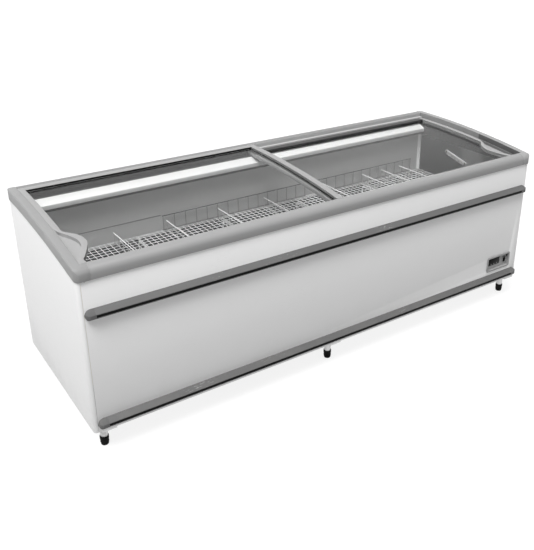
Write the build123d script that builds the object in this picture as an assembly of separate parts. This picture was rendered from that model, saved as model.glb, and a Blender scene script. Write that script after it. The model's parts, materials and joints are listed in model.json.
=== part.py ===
"""Chest freezer for a shop floor, with an arched top and two sliding curved glass lids.

Millimetres. X runs along the length, -Y is the customer's side, +Z is up, and the origin
is on the floor under the middle of the cabinet.
"""
import os
from math import degrees, sqrt

from build123d import *

# ---- cabinet -------------------------------------------------------------------------
LENGTH = 2500.0
DEPTH = 850.0
HEIGHT = 890.0
LEG_HEIGHT = 104.0
ARC_RADIUS = 5600.0
ARC_SWEEP = 1.2
SEAT = 0.3

END_X = LENGTH / 2
REAR_Y = DEPTH / 2
FRONT_Y = -DEPTH / 2
ARC_CENTRE_Z = HEIGHT - ARC_RADIUS

# ---- sheet metal shell ---------------------------------------------------------------
PANEL_THICKNESS = 1.2
SIDE_PANEL_INSET = 2.0
FRONT_PANEL_INSET = 5.5
REAR_PANEL_INSET = 2.0
PANEL_TOP_DEPTH = 30.0
CORNER_FLANGE = 18.0
PANEL_CORNER_RADIUS = 16.0
PANEL_JOINT = 0.8

SIDE_FACE = END_X - SIDE_PANEL_INSET
FRONT_FACE = FRONT_Y + FRONT_PANEL_INSET
REAR_FACE = REAR_Y - REAR_PANEL_INSET
SHELL_X = SIDE_FACE - PANEL_THICKNESS - SEAT
SHELL_FRONT = FRONT_FACE + PANEL_THICKNESS + SEAT
SHELL_REAR = REAR_FACE - PANEL_THICKNESS - SEAT
FACE_PANEL_X = SIDE_FACE - CORNER_FLANGE - PANEL_JOINT

# ---- rims round the top --------------------------------------------------------------
RIM_WALL = 4.0
RIM_ROOF = 5.0
SIDE_RIM_WIDTH = 37.0
FRONT_RIM_WIDTH = 41.0
REAR_RIM_WIDTH = 35.0
RIM_SKIRT = 48.0
FRONT_RIM_ROUND = 30.0
FRONT_RIM_HAUNCH = 24.0
RIM_EDGE_ROUND = 5.0
FRONT_CORNER_LENGTH = 60.0
FRONT_CORNER_ROUND = 22.0
CORNER_WALL = 11.0

RIM_INNER_X = END_X - SIDE_RIM_WIDTH
RIM_INNER_FRONT = FRONT_Y + FRONT_RIM_WIDTH
RIM_INNER_REAR = REAR_Y - REAR_RIM_WIDTH
RIM_CORNER_RADIUS = PANEL_CORNER_RADIUS + SIDE_PANEL_INSET

# ---- storage tank --------------------------------------------------------------------
TANK_X = 1180.0
TANK_FRONT = -350.0
TANK_REAR = 348.0
TANK_FLOOR = 400.0
TANK_CORNER_RADIUS = 14.0
LINER_THICKNESS = 1.2
LINER_TOP = 767.0
FOAM_FLOOR = 70.0
THROAT_THICKNESS = 3.0

FOAM_BOTTOM = TANK_FLOOR - FOAM_FLOOR

# ---- lids and their tracks -----------------------------------------------------------
LID_HEIGHT = 20.0
GLIDE_HEIGHT = 2.2
LID_DROP = 28.0
LID_END_GAP = 1.0
LID_SIDE_GAP = 1.0
TRACK_THICKNESS = 3.0
TRACK_STEP = 15.0
TRACK_TAIL = 8.0
UPPER_LID_LENGTH = 1220.0
LID_OVERLAP = 38.0
LID_END_WIDTH = 25.0
LID_PLAIN_END_WIDTH = 32.0
LID_REAR_RAIL = 35.0
LID_FRONT_RAIL = 9.0
LID_FRONT_RAIL_DROP = 5.0
GLASS_THICKNESS = 4.0
GLASS_DEPTH = 8.0
GLASS_BITE = 5.0
SEAL_THICKNESS = 2.5
GLIDE_LENGTH = 60.0
GLIDE_WIDTH = 6.0
GLIDE_INSET = 90.0

UPPER_LEDGE = LID_HEIGHT + GLIDE_HEIGHT + SEAT
LOWER_LEDGE = LID_DROP + UPPER_LEDGE
FOAM_TOP_DEPTH = UPPER_LEDGE + TRACK_THICKNESS + SEAT
FRONT_STEP_Y = RIM_INNER_FRONT + TRACK_STEP
REAR_STEP_Y = RIM_INNER_REAR - TRACK_STEP

# ---- finger grip moulded into each lid's outer end -------------------------------------
GRIP_REACH = 84.0
GRIP_REAR_Y = -108.0
GRIP_PEAK_Y = -226.0
GRIP_FRONT_Y = -355.0
GRIP_SHOULDER = (52.0, -153.0)
GRIP_FLANK = (63.0, -292.0)
SCOOP_REACH = 56.0
SCOOP_REAR_Y = -82.0
SCOOP_FRONT_Y = -350.0
SCOOP_SHOULDER = (24.0, -146.0)
SCOOP_FLANK = (36.0, -300.0)
SCOOP_WALL = 3.0
SCOOP_DEPTH = 15.0

# ---- bumpers -------------------------------------------------------------------------
BUMPER_TOPS = (166.0, 659.0)
BUMPER_HEIGHT = 36.0
BUMPER_DEPTH = 24.0
BUMPER_SLOPE = 19.0
BUMPER_ROUND = 4.0
BUMPER_LIP_ROUND = 1.2
BUMPER_END_X = 1229.0
BUMPER_CAP_LENGTH = 39.0
BUMPER_CAP_ROUND = 16.0
BUMPER_CAP_TOP_ROUND = 24.0
BUMPER_CAP_LOW_ROUND = 8.0
INSERT_TOP = 21.0
INSERT_HEIGHT = 12.0
INSERT_GROOVE = 8.0
INSERT_RECESS = 0.5

# ---- legs ----------------------------------------------------------------------------
LEG_XS = (-1195.0, -50.0, 1195.0)
LEG_Y = 366.0
LEG_BRACKET_X = (-20.0, 42.0)
LEG_BRACKET_Y = (-30.0, 50.0)
LEG_BRACKET_HEIGHT = 10.0
LEG_BRACKET_WALL = 3.0
LEG_TUBE_RADIUS = 16.0
CUP_RADIUS = 19.0
CUP_HEIGHT = 42.0
CUP_CHAMFER = 5.0
CUP_SOCKET = 9.0
CUP_TUBE_GAP = 1.0
STUD_RADIUS = 6.0
STUD_CLEARANCE = 0.08
STUD_LENGTH = 72.0
BASE_THICKNESS = 2.0
BASE_FLANGE = 26.0
RAIL_WIDTH = 50.0
RAIL_HEIGHT = 36.0
RAIL_THICKNESS = 2.5
RAIL_END_GAP = 8.0
STUD_HOLE_GAP = 2.0

# ---- machine compartment -----------------------------------------------------------------
BULKHEAD_XS = (-640.0, 500.0)
BULKHEAD_FLANGE = 20.0
BULKHEAD_THICKNESS = 1.5
UNDERPLATE_THICKNESS = 1.2

COMPRESSOR_CENTRE = (1080.0, -40.0)
COMPRESSOR_RADIUS = 84.0
COMPRESSOR_HEIGHT = 150.0
COMPRESSOR_DOME = 30.0
COMPRESSOR_PLATE = (210.0, 150.0, 3.0)
COMPRESSOR_MOUNT_RADIUS = 12.0
COMPRESSOR_MOUNT_HEIGHT = 18.0
COMPRESSOR_MOUNT_INSET = 18.0

CONDENSER_X = (620.0, 960.0)
CONDENSER_Y = (268.0, 334.0)
CONDENSER_Z = (118.0, 312.0)
FIN_PITCH = 10.0
FIN_THICKNESS = 0.6
CONDENSER_TUBE_RADIUS = 4.0
CONDENSER_TUBE_ROWS = 6
TUBE_FIN_GAP = 0.15

SHROUD_THICKNESS = 3.0
SHROUD_GAP = 4.0
FAN_RADIUS = 86.0
FAN_TIP_GAP = 4.0
FAN_HUB_RADIUS = 20.0
FAN_HUB_LENGTH = 26.0
FAN_BLADES = 5
FAN_BLADE_WIDTH = 34.0
FAN_BLADE_THICKNESS = 2.0
FAN_BLADE_PITCH = 32.0
FAN_SHAFT_RADIUS = 4.0
FAN_SHAFT_CLEARANCE = 0.05
FAN_BACK_GAP = 12.0
MOTOR_RADIUS = 38.0
MOTOR_LENGTH = 60.0
MOTOR_ARM = 10.0
MOTOR_GAP = 4.0

DRIER_CENTRE = (960.0, 120.0)
DRIER_RADIUS = 11.0
DRIER_Z = (170.0, 270.0)
PIPE_RADIUS = 4.0
PIPE_BEND = 12.0
PIPE_LANE_X = 550.0
PIPE_DROP = 20.0

COIL_TUBE_RADIUS = 4.0
COIL_TURNS = 7
COIL_FIRST_Z = 425.0
COIL_PITCH = 50.0
COIL_FEED_X = 1000.0
COIL_STEP_X = 900.0
COIL_TAIL_X = 600.0
COIL_STUB = 12.0

DRAIN_CENTRE = (-1060.0, -250.0)
DRAIN_BORE = 11.0
DRAIN_WALL = 2.0
DRAIN_FLANGE_RADIUS = 22.0
DRAIN_FLANGE_THICKNESS = 2.0
DRAIN_OUTLET_DROP = 12.0
DRAIN_PLUG_LENGTH = 25.0
DRAIN_PLUG_HEAD = 6.0
DRAIN_PLUG_CLEARANCE = 0.5

VENT_X = (640.0, 940.0)
VENT_Z = (136.0, 300.0)
VENT_BORDER = 14.0
VENT_THICKNESS = 2.0
VENT_SLOTS = 11
VENT_SLOT_HEIGHT = 7.0
VENT_SCREW_RADIUS = 2.0
VENT_SCREW_LENGTH = 6.0
VENT_SCREW_INSET = 7.0

INLET_CENTRE = (1130.0, 170.0)
INLET_RADIUS = 9.0
INLET_BORE = 4.0
INLET_COLLAR_RADIUS = 14.0
INLET_COLLAR = 3.0
INLET_REACH = 12.0

# ---- control panel -----------------------------------------------------------------------
PANEL_CENTRE = (1093.0, 229.0)
PANEL_SIZE = (180.0, 86.0)
PANEL_ROUND = 10.0
PANEL_PROUD = 4.0
PANEL_COLLAR_INSET = 6.0
PANEL_WALL = 2.5
PANEL_RECESS = 12.0
CONTROLLER_SIZE = (87.0, 41.0)
CONTROLLER_CENTRE = (1066.5, 237.5)
CONTROLLER_LENGTH = 60.0
CONTROLLER_PROUD = 2.0
BUTTON_RADIUS = 3.5
BUTTON_CLEARANCE = 0.08
BUTTON_PITCH = 22.0
BUTTON_DROP = 14.0
BUTTON_PROUD = 1.2
BUTTON_LENGTH = 6.0
BUTTON_TRAVEL = 1.0
SWITCH_CENTRE = (1149.0, 231.0)
SWITCH_SIZE = (24.0, 34.0)
SWITCH_WALL = 2.0
SWITCH_DEPTH = 20.0
SWITCH_PROUD = 3.0
ROCKER_GAP = 1.0
ROCKER_DIP = 2.0
ROCKER_BACK = 4.0
ROCKER_AXLE_RADIUS = 1.5
ROCKER_AXLE_CLEARANCE = 0.05
ROCKER_AXLE_DEPTH = 6.0
ROCKER_TILT = 8.0

# ---- lamp canopy -------------------------------------------------------------------------
LAMP_X = 1165.0
LAMP_FRONT_Y = 300.0
LAMP_FRONT_TOP = 817.0
LAMP_BACK_TOP = 838.0
LAMP_BOTTOM = 797.0
LAMP_WALL = 1.5
LAMP_CAP = 14.0
LAMP_DIFFUSER = 2.0
LED_WIDTH = 12.0
LED_THICKNESS = 1.6
LAMP_SCREW_RADIUS = 2.5
LAMP_SCREW_HEAD = 1.6
LAMP_SCREW_INSET = 11.0

# ---- wire work ---------------------------------------------------------------------------
DECK_TOP = 552.0
DECK_PANELS = 5
DECK_WALL_GAP = 6.0
DECK_PANEL_GAP = 3.0
DECK_WIRE = 4.0
DECK_WIRE_PITCH = 27.0
DECK_BEARER = 5.0
DECK_BEARERS = 6
TRESTLE_WIRE = 7.0
TRESTLE_INSET = 40.0
FENCE_Y = 336.0
FENCE_TOP = 630.0
FENCE_X = (-560.0, 1105.0)
FENCE_GAP_X = (312.0, 393.0)
FENCE_WIRE = 4.0
FENCE_POST = 3.4
FENCE_PITCH = 62.0
DIVIDER_XS = (-820.0, -543.0, -250.0, 30.0, 425.0, 715.0, 860.0, 1000.0)
DIVIDER_TOP = 606.0
DIVIDER_WIRE = 4.5
DIVIDER_POST = 3.8
DIVIDER_PITCH = 55.0
DIVIDER_FRONT_GAP = 8.0
DIVIDER_REAR_GAP = 8.0

# ---- thermometer on the right-hand tank wall ---------------------------------------------
THERMOMETER_CENTRE = (38.0, 697.0)
THERMOMETER_SIZE = (170.0, 24.0)
THERMOMETER_THICKNESS = 7.0
THERMOMETER_TILT = 14.0
THERMOMETER_ROUND = 6.0
CAPILLARY_SIZE = (120.0, 5.0)
CAPILLARY_DEPTH = 2.0


# ---- helpers -----------------------------------------------------------------------------
def arc_z(y, depth=0.0):
    """Height at y of the surface that lies depth under the arched top."""
    return ARC_CENTRE_Z + sqrt((ARC_RADIUS - depth) ** 2 - (REAR_Y - y) ** 2)


def at(y, depth):
    """Point of a YZ section, given by its depth under the arched top."""
    return (y, arc_z(y, depth))


def face(*curves):
    """Flat face bounded by the curves."""
    flat = make_face([edge for curve in curves for edge in curve.edges()]).face()
    return Sketch() + (flat if flat.normal_at().Z > 0 else -flat)


def outline(points):
    """Flat face bounded by straight lines through the points."""
    return face(Polyline(*points, close=True))


def along_x(section, x0, x1):
    """Extrude a YZ section from x0 to x1."""
    return extrude(Plane.YZ.offset(x0) * section, amount=x1 - x0, dir=(1, 0, 0))


def along_y(section, y0, y1):
    """Extrude an XZ section from y0 to y1."""
    return extrude(Plane.XZ.offset(-y1) * section, amount=y1 - y0, dir=(0, -1, 0))


def along_z(section, z0, z1):
    """Extrude an XY section from z0 to z1."""
    return extrude(Pos(0, 0, z0) * section, amount=z1 - z0, dir=(0, 0, 1))


def block(x, y, z):
    """Box over three (low, high) spans."""
    centre = Pos(sum(x) / 2, sum(y) / 2, sum(z) / 2)
    return centre * Box(x[1] - x[0], y[1] - y[0], z[1] - z[0])


def arc_band(x, y, depths):
    """Curved slab that follows the arched top, over spans of x, y and depth."""
    middle = sum(y) / 2
    top, bottom = [
        ThreePointArc(at(y[0], depth), at(middle, depth), at(y[1], depth)) for depth in depths
    ]
    section = face(top, Line(top @ 1, bottom @ 1), bottom, Line(bottom @ 0, top @ 0))
    return along_x(section, *x)


def under_arc(x, y, bottom, depth):
    """Body from a flat bottom up to the arched surface at the depth."""
    middle = sum(y) / 2
    top = ThreePointArc(at(y[0], depth), at(middle, depth), at(y[1], depth))
    walls = Polyline(top @ 1, (y[1], bottom), (y[0], bottom), top @ 0)
    return along_x(face(top, walls), *x)


def plan(half_x, y, radius, z):
    """Upright prism with a rounded rectangular plan."""
    section = RectangleRounded(2 * half_x, y[1] - y[0], radius)
    return along_z(Pos(0, sum(y) / 2) * section, *z)


def arched(section):
    """Sweep an XZ section, drawn at the rear edge, forward along the arched top."""
    axis = Axis((0, REAR_Y, ARC_CENTRE_Z), (1, 0, 0))
    sweep_angle = degrees(ARC_SWEEP * DEPTH / ARC_RADIUS)
    return revolve(Plane.XZ.offset(-REAR_Y) * section, axis=axis, revolution_arc=sweep_angle)


def rod(start, end, diameter):
    """Round bar between two points."""
    start, end = Vector(*start), Vector(*end)
    bar = Cylinder(diameter / 2, (end - start).length, align=(Align.CENTER, Align.CENTER, Align.MIN))
    return Plane(origin=start, z_dir=end - start) * bar


def disc(centre, radius, z0, z1):
    """Upright cylinder."""
    return Pos(centre[0], centre[1], (z0 + z1) / 2) * Cylinder(radius, z1 - z0)


def pin_y(centre, radius, y0, y1):
    """Cylinder along Y about an (x, z) centre."""
    return rod((centre[0], y0, centre[1]), (centre[0], y1, centre[1]), 2 * radius)


def mirrored(shape):
    """The same piece on the other end of the cabinet."""
    return mirror(shape, about=Plane.YZ)


def group(shapes):
    """Separate solids kept in one node."""
    return Compound(children=[solid for shape in shapes for solid in shape.solids()])


def steps(first, last, pitch):
    """Evenly spaced positions from first to last, near the pitch."""
    count = max(1, round((last - first) / pitch))
    return [first + (last - first) * i / count for i in range(count + 1)]


def span(centre, width, margin=0.0):
    """The (low, high) span of a width about a centre, grown by a margin."""
    return (centre - width / 2 - margin, centre + width / 2 + margin)


# ---- shell -------------------------------------------------------------------------------
def side_panel():
    """Right-hand side sheet, bent round the front and rear corners."""
    y = (FRONT_FACE, REAR_FACE)
    inner_y = (FRONT_FACE + PANEL_THICKNESS, REAR_FACE - PANEL_THICKNESS)
    z = (0.0, HEIGHT)
    skin = plan(SIDE_FACE, y, PANEL_CORNER_RADIUS, z)
    skin -= plan(SIDE_FACE - PANEL_THICKNESS, inner_y, PANEL_CORNER_RADIUS - PANEL_THICKNESS, z)
    return skin & under_arc((SIDE_FACE - CORNER_FLANGE, END_X), y, LEG_HEIGHT, PANEL_TOP_DEPTH)


def front_panel():
    """Front sheet with the control panel's cut-out."""
    top = arc_z(FRONT_FACE, PANEL_TOP_DEPTH)
    sheet = block(
        (-FACE_PANEL_X, FACE_PANEL_X), (FRONT_FACE, FRONT_FACE + PANEL_THICKNESS), (LEG_HEIGHT, top)
    )
    margin = SEAT - PANEL_COLLAR_INSET
    hole_x = span(PANEL_CENTRE[0], PANEL_SIZE[0], margin)
    hole_z = span(PANEL_CENTRE[1], PANEL_SIZE[1], margin)
    return sheet - block(hole_x, (FRONT_Y, SHELL_FRONT), hole_z)


def vent_screw_places():
    """The (x, z) centres of the rear grille's screws."""
    return [
        (x, z)
        for x in (VENT_X[0] + VENT_SCREW_INSET, VENT_X[1] - VENT_SCREW_INSET)
        for z in (VENT_Z[0] + VENT_SCREW_INSET, VENT_Z[1] - VENT_SCREW_INSET)
    ]


def rear_panel():
    """Rear sheet with the condenser's vent and the power cord's hole."""
    top = arc_z(REAR_FACE, PANEL_TOP_DEPTH)
    y = (REAR_FACE - PANEL_THICKNESS, REAR_FACE)
    through = (SHELL_REAR - PANEL_THICKNESS, REAR_Y)
    sheet = block((-FACE_PANEL_X, FACE_PANEL_X), y, (LEG_HEIGHT, top))
    sheet -= block(
        (VENT_X[0] + VENT_BORDER, VENT_X[1] - VENT_BORDER),
        through,
        (VENT_Z[0] + VENT_BORDER, VENT_Z[1] - VENT_BORDER),
    )
    for place in vent_screw_places():
        sheet -= pin_y(place, VENT_SCREW_RADIUS + STUD_CLEARANCE, *through)
    return sheet - pin_y(INLET_CENTRE, INLET_RADIUS + SEAT, *through)


def leg_places():
    """The (x, y) centres of the legs."""
    return [(x, y) for y in (-LEG_Y, LEG_Y) for x in LEG_XS]


def base_tray():
    """Steel floor pan of the machine compartment, with an upturned edge."""
    y = (SHELL_FRONT, SHELL_REAR)
    tray = plan(SHELL_X, y, PANEL_CORNER_RADIUS - PANEL_THICKNESS, (LEG_HEIGHT, LEG_HEIGHT + BASE_FLANGE))
    tray -= plan(
        SHELL_X - BASE_THICKNESS,
        (y[0] + BASE_THICKNESS, y[1] - BASE_THICKNESS),
        PANEL_CORNER_RADIUS - PANEL_THICKNESS - BASE_THICKNESS,
        (LEG_HEIGHT + BASE_THICKNESS, LEG_HEIGHT + BASE_FLANGE),
    )
    for place in leg_places():
        tray -= disc(place, STUD_RADIUS + STUD_HOLE_GAP, 0, LEG_HEIGHT + BASE_FLANGE)
    return tray - disc(DRAIN_CENTRE, DRAIN_BORE + DRAIN_WALL + SEAT, 0, LEG_HEIGHT + BASE_FLANGE)


def base_rails():
    """Two folded channels that lie on the tray over the legs and carry the load."""
    length = SHELL_X - BASE_THICKNESS - RAIL_END_GAP
    bottom = LEG_HEIGHT + BASE_THICKNESS
    rails = []
    for y in (-LEG_Y, LEG_Y):
        rail = block((-length, length), span(y, RAIL_WIDTH), (bottom, bottom + RAIL_HEIGHT))
        rail -= block(
            (-length, length),
            span(y, RAIL_WIDTH, -RAIL_THICKNESS),
            (bottom, bottom + RAIL_HEIGHT - RAIL_THICKNESS),
        )
        rails.append(rail)
    return rails


def leg_sockets():
    """Shallow bracket and tube of each leg, screwed under the tray."""
    sockets = []
    bottom = LEG_HEIGHT - LEG_BRACKET_HEIGHT
    wall = LEG_BRACKET_WALL
    for x, y in leg_places():
        outward = 1 if y > 0 else -1
        reach_x = (x + LEG_BRACKET_X[0], x + LEG_BRACKET_X[1])
        reach_y = sorted(y + outward * reach for reach in LEG_BRACKET_Y)
        bracket = block(reach_x, reach_y, (bottom, LEG_HEIGHT))
        hollow_x = (reach_x[0] + wall, reach_x[1] - wall)
        hollow_y = (reach_y[0] + wall, reach_y[1] - wall)
        bracket -= block(hollow_x, hollow_y, (bottom + wall, LEG_HEIGHT))
        foot_of_tube = CUP_HEIGHT - CUP_SOCKET + CUP_TUBE_GAP
        tube = disc((x, y), LEG_TUBE_RADIUS, foot_of_tube, LEG_HEIGHT)
        bore = disc((x, y), STUD_RADIUS + STUD_CLEARANCE, 0, LEG_HEIGHT)
        sockets.append(bracket + tube - bore)
    return group(sockets)


def levelling_foot(place):
    """Cup and stud of one leg, which turn together to set its height."""
    cup = disc(place, CUP_RADIUS, 0, CUP_HEIGHT)
    cup = chamfer(cup.faces().sort_by(Axis.Z)[0].edges(), CUP_CHAMFER)
    socket_floor = CUP_HEIGHT - CUP_SOCKET
    cup -= disc(place, LEG_TUBE_RADIUS + 2 * SEAT, socket_floor, CUP_HEIGHT)
    return cup + disc(place, STUD_RADIUS, socket_floor, CUP_HEIGHT + STUD_LENGTH)


# ---- rims --------------------------------------------------------------------------------
def front_rim_section():
    """YZ section of the front rim, a hollow hook over the panel's top edge."""
    skirt = arc_z(FRONT_Y, RIM_SKIRT)
    lip = FRONT_FACE - SEAT
    shoulder = arc_z(lip, PANEL_TOP_DEPTH - RIM_ROOF)
    leg = RIM_INNER_FRONT - RIM_WALL
    points = [
        at(RIM_INNER_FRONT, 0),
        at(FRONT_Y, 0),
        (FRONT_Y, skirt),
        (lip, skirt),
        (lip, shoulder),
        at(FRONT_Y + FRONT_RIM_HAUNCH, RIM_ROOF),
        at(leg, RIM_ROOF),
        at(leg, UPPER_LEDGE - SEAT),
        at(RIM_INNER_FRONT, UPPER_LEDGE - SEAT),
    ]
    section = outline(points)
    nose = section.vertices().sort_by_distance((FRONT_Y, arc_z(FRONT_Y), 0))[0]
    return fillet(nose, FRONT_RIM_ROUND)


def front_rim():
    """Front rim between the two corner mouldings."""
    reach = END_X - FRONT_CORNER_LENGTH - SEAT
    return along_x(front_rim_section(), -reach, reach)


def rear_rim():
    """Rear rim between the two side rims."""
    skin = REAR_FACE + SEAT
    leg = RIM_INNER_REAR + RIM_WALL
    points = [
        at(RIM_INNER_REAR, 0),
        at(REAR_Y, 0),
        at(REAR_Y, RIM_SKIRT),
        at(skin, RIM_SKIRT),
        at(skin, RIM_ROOF),
        at(leg, RIM_ROOF),
        at(leg, UPPER_LEDGE - SEAT),
        at(RIM_INNER_REAR, UPPER_LEDGE - SEAT),
    ]
    section = outline(points)
    edge = section.vertices().sort_by_distance((REAR_Y, HEIGHT, 0))[0]
    reach = RIM_INNER_X - SEAT
    return along_x(fillet(edge, RIM_EDGE_ROUND), -reach, reach)


def mouth_y():
    """The y span of the tank's mouth in the foam, outside the tracks."""
    return (
        FRONT_STEP_Y - TRACK_THICKNESS - SEAT,
        REAR_STEP_Y + TRACK_THICKNESS + SEAT,
    )


def rim_form():
    """Outer form that the side rims and their corner mouldings keep inside."""
    end, front, rear = END_X, FRONT_Y, REAR_Y
    base = HEIGHT - 3 * RIM_SKIRT
    upright = outline([(-end, base), (end, base), (end, HEIGHT), (-end, HEIGHT)])
    form = arched(fillet(upright.vertices().sort_by(Axis.Y)[-2:], RIM_EDGE_ROUND))
    section = outline([(-end, front), (end, front), (end, rear), (-end, rear)])
    section = fillet(section.vertices().sort_by(Axis.Y)[:2], FRONT_CORNER_ROUND)
    section = fillet(section.vertices().sort_by(Axis.Y)[-2:], RIM_CORNER_RADIUS)
    form &= along_z(section, 0, HEIGHT)
    blank = under_arc((-end, end), (front, rear), 0, 0)
    edge = blank.edges().sort_by_distance((0, front, arc_z(front)))[0]
    return form & fillet(edge, FRONT_RIM_ROUND)


def corner_moulding():
    """Hollow lump that closes the right-hand front corner round the side panel's bend."""
    size = 2 * FRONT_CORNER_ROUND
    x = (END_X - size, END_X)
    y = (FRONT_Y, FRONT_Y + size)
    lump = arc_band(x, y, (RIM_ROOF, RIM_SKIRT))
    for wall_x, wall_y, depth in (
        (END_X - CORNER_WALL, FRONT_Y + CORNER_WALL, RIM_ROOF),
        (SIDE_FACE + SEAT, FRONT_FACE - SEAT, PANEL_TOP_DEPTH - RIM_ROOF),
    ):
        radius = PANEL_CORNER_RADIUS + SEAT if depth > RIM_ROOF else CORNER_WALL
        hollow = under_arc((x[0], wall_x), (wall_y, y[1]), 0, depth)
        lump -= hollow & plan(wall_x, (wall_y, -wall_y), radius, (0, HEIGHT))
    return lump


def side_rim():
    """Right-hand rim, which runs round the front corner to meet the front rim."""
    skin = SIDE_FACE + SEAT
    leg = RIM_INNER_X + RIM_WALL
    ledge = HEIGHT - LOWER_LEDGE + SEAT
    points = [
        (RIM_INNER_X, HEIGHT),
        (END_X, HEIGHT),
        (END_X, HEIGHT - RIM_SKIRT),
        (skin, HEIGHT - RIM_SKIRT),
        (skin, HEIGHT - RIM_ROOF),
        (leg, HEIGHT - RIM_ROOF),
        (leg, ledge),
        (RIM_INNER_X, ledge),
    ]
    side = arched(outline(points))
    leg_x = (RIM_INNER_X - SEAT, leg + SEAT)
    leg_depths = (UPPER_LEDGE - SEAT, LOWER_LEDGE)
    for y in ((FRONT_FACE - SEAT, mouth_y()[0]), (mouth_y()[1], REAR_Y)):
        side -= arc_band(leg_x, y, leg_depths)
    front = along_x(front_rim_section(), END_X - FRONT_CORNER_LENGTH, END_X)
    rear = under_arc((RIM_INNER_X, END_X), (REAR_FACE + SEAT, REAR_Y), HEIGHT - RIM_SKIRT, 0)
    return (side + front + rear + corner_moulding()) & rim_form()


# ---- tank --------------------------------------------------------------------------------
def tank_plan(offset, z):
    """Upright prism over the tank's plan, grown by an offset."""
    y = (TANK_FRONT - offset, TANK_REAR + offset)
    return plan(TANK_X + offset, y, TANK_CORNER_RADIUS + offset, z)


def inner_liner():
    """Sheets of the tank: floor pan, two long sides, two ends and four corner strips."""
    floor_z = (TANK_FLOOR - LINER_THICKNESS, TANK_FLOOR)
    wall_z = (TANK_FLOOR, LINER_TOP)
    floor = tank_plan(LINER_THICKNESS, floor_z)
    floor -= disc(DRAIN_CENTRE, DRAIN_BORE + DRAIN_WALL + SEAT, *floor_z)
    ring = tank_plan(LINER_THICKNESS, wall_z) - tank_plan(0, wall_z)
    x = TANK_X - TANK_CORNER_RADIUS
    y = (TANK_FRONT + TANK_CORNER_RADIUS, TANK_REAR - TANK_CORNER_RADIUS)
    long_sheets = ring & block((-x, x), (FRONT_Y, REAR_Y), wall_z)
    end_sheets = ring & block((-END_X, END_X), y, wall_z)
    corner_strips = ring - block((-x, x), (FRONT_Y, REAR_Y), wall_z) - block((-END_X, END_X), y, wall_z)
    return group([floor, long_sheets, end_sheets, corner_strips])


def coil_space_bottom():
    """Height at which the evaporator's space starts."""
    return COIL_FIRST_Z - coil_bend() - SEAT


def coil_space():
    """Room left between the liner and the foam for the evaporator tube."""
    top = COIL_FIRST_Z + (COIL_TURNS - 1) * COIL_PITCH + COIL_TUBE_RADIUS + SEAT
    return tank_plan(coil_offset() + COIL_TUBE_RADIUS + 2 * SEAT, (coil_space_bottom(), top))


def insulation_foam():
    """Foam body between the shell and the tank."""
    foam = under_arc((-END_X, END_X), (FRONT_Y, REAR_Y), 0, FOAM_TOP_DEPTH)
    inner_radius = PANEL_CORNER_RADIUS - PANEL_THICKNESS
    foam &= plan(SHELL_X, (SHELL_FRONT, SHELL_REAR), inner_radius, (FOAM_BOTTOM, HEIGHT))
    mouth_x = RIM_INNER_X + RIM_WALL + SEAT
    foam -= arc_band((-mouth_x, mouth_x), mouth_y(), (0, LOWER_LEDGE + TRACK_THICKNESS + 2 * SEAT))
    foam -= tank_plan(LINER_THICKNESS + SEAT, (TANK_FLOOR - LINER_THICKNESS - SEAT, LINER_TOP))
    foam -= tank_plan(THROAT_THICKNESS + SEAT, (LINER_TOP, HEIGHT))
    foam -= coil_space()
    pipe_hole = DRAIN_BORE + DRAIN_WALL + SEAT
    foam -= disc(DRAIN_CENTRE, pipe_hole, FOAM_BOTTOM, TANK_FLOOR)
    return foam - disc(coil_riser_place(), COIL_TUBE_RADIUS + SEAT, FOAM_BOTTOM, coil_space_bottom())


def throat_strips():
    """Four plastic strips from the liner's edge up to the lid tracks."""
    bottom = LINER_TOP + SEAT
    reach = TANK_X + THROAT_THICKNESS
    y = (TANK_FRONT - THROAT_THICKNESS, TANK_REAR + THROAT_THICKNESS)
    ring = tank_plan(THROAT_THICKNESS, (bottom, HEIGHT)) - tank_plan(0, (bottom, HEIGHT))
    ring &= under_arc((-reach, reach), y, bottom, LOWER_LEDGE + TRACK_THICKNESS + SEAT)
    split = TANK_X - TANK_CORNER_RADIUS
    flange_y = (TANK_FRONT + SEAT, TANK_REAR - SEAT)
    flange_x = (TANK_X, RIM_INNER_X + RIM_WALL)
    side = ring & block((split + SEAT, reach), y, (bottom, HEIGHT))
    side += arc_band(flange_x, flange_y, (LOWER_LEDGE, LOWER_LEDGE + TRACK_THICKNESS + SEAT))
    long_strips = ring & block((-split, split), y, (bottom, HEIGHT))
    return group([long_strips, side, mirrored(side)])


def track(tail, step, inner):
    """Stepped track: an upper ledge for one lid and a lower ledge for the other."""
    web = step - TRACK_THICKNESS if tail < step else step + TRACK_THICKNESS
    points = [
        at(tail, UPPER_LEDGE),
        at(step, UPPER_LEDGE),
        at(step, LOWER_LEDGE),
        at(inner, LOWER_LEDGE),
        at(inner, LOWER_LEDGE + TRACK_THICKNESS),
        at(web, LOWER_LEDGE + TRACK_THICKNESS),
        at(web, UPPER_LEDGE + TRACK_THICKNESS),
        at(tail, UPPER_LEDGE + TRACK_THICKNESS),
    ]
    reach = RIM_INNER_X - SEAT
    return along_x(outline(points), -reach, reach)


def lid_tracks():
    """Stepped tracks under the front and the rear rim."""
    front = track(RIM_INNER_FRONT - TRACK_TAIL, FRONT_STEP_Y, TANK_FRONT)
    rear = track(RIM_INNER_REAR + TRACK_TAIL, REAR_STEP_Y, TANK_REAR)
    return group([front, rear])


def tank_underplate():
    """Galvanised sheet that closes the foam's underside."""
    y = (SHELL_FRONT, SHELL_REAR)
    z = (FOAM_BOTTOM - UNDERPLATE_THICKNESS, FOAM_BOTTOM)
    sheet = plan(SHELL_X, y, PANEL_CORNER_RADIUS - PANEL_THICKNESS, z)
    sheet -= disc(DRAIN_CENTRE, DRAIN_BORE + DRAIN_WALL + SEAT, *z)
    return sheet - disc(coil_riser_place(), COIL_TUBE_RADIUS + SEAT, *z)


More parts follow.
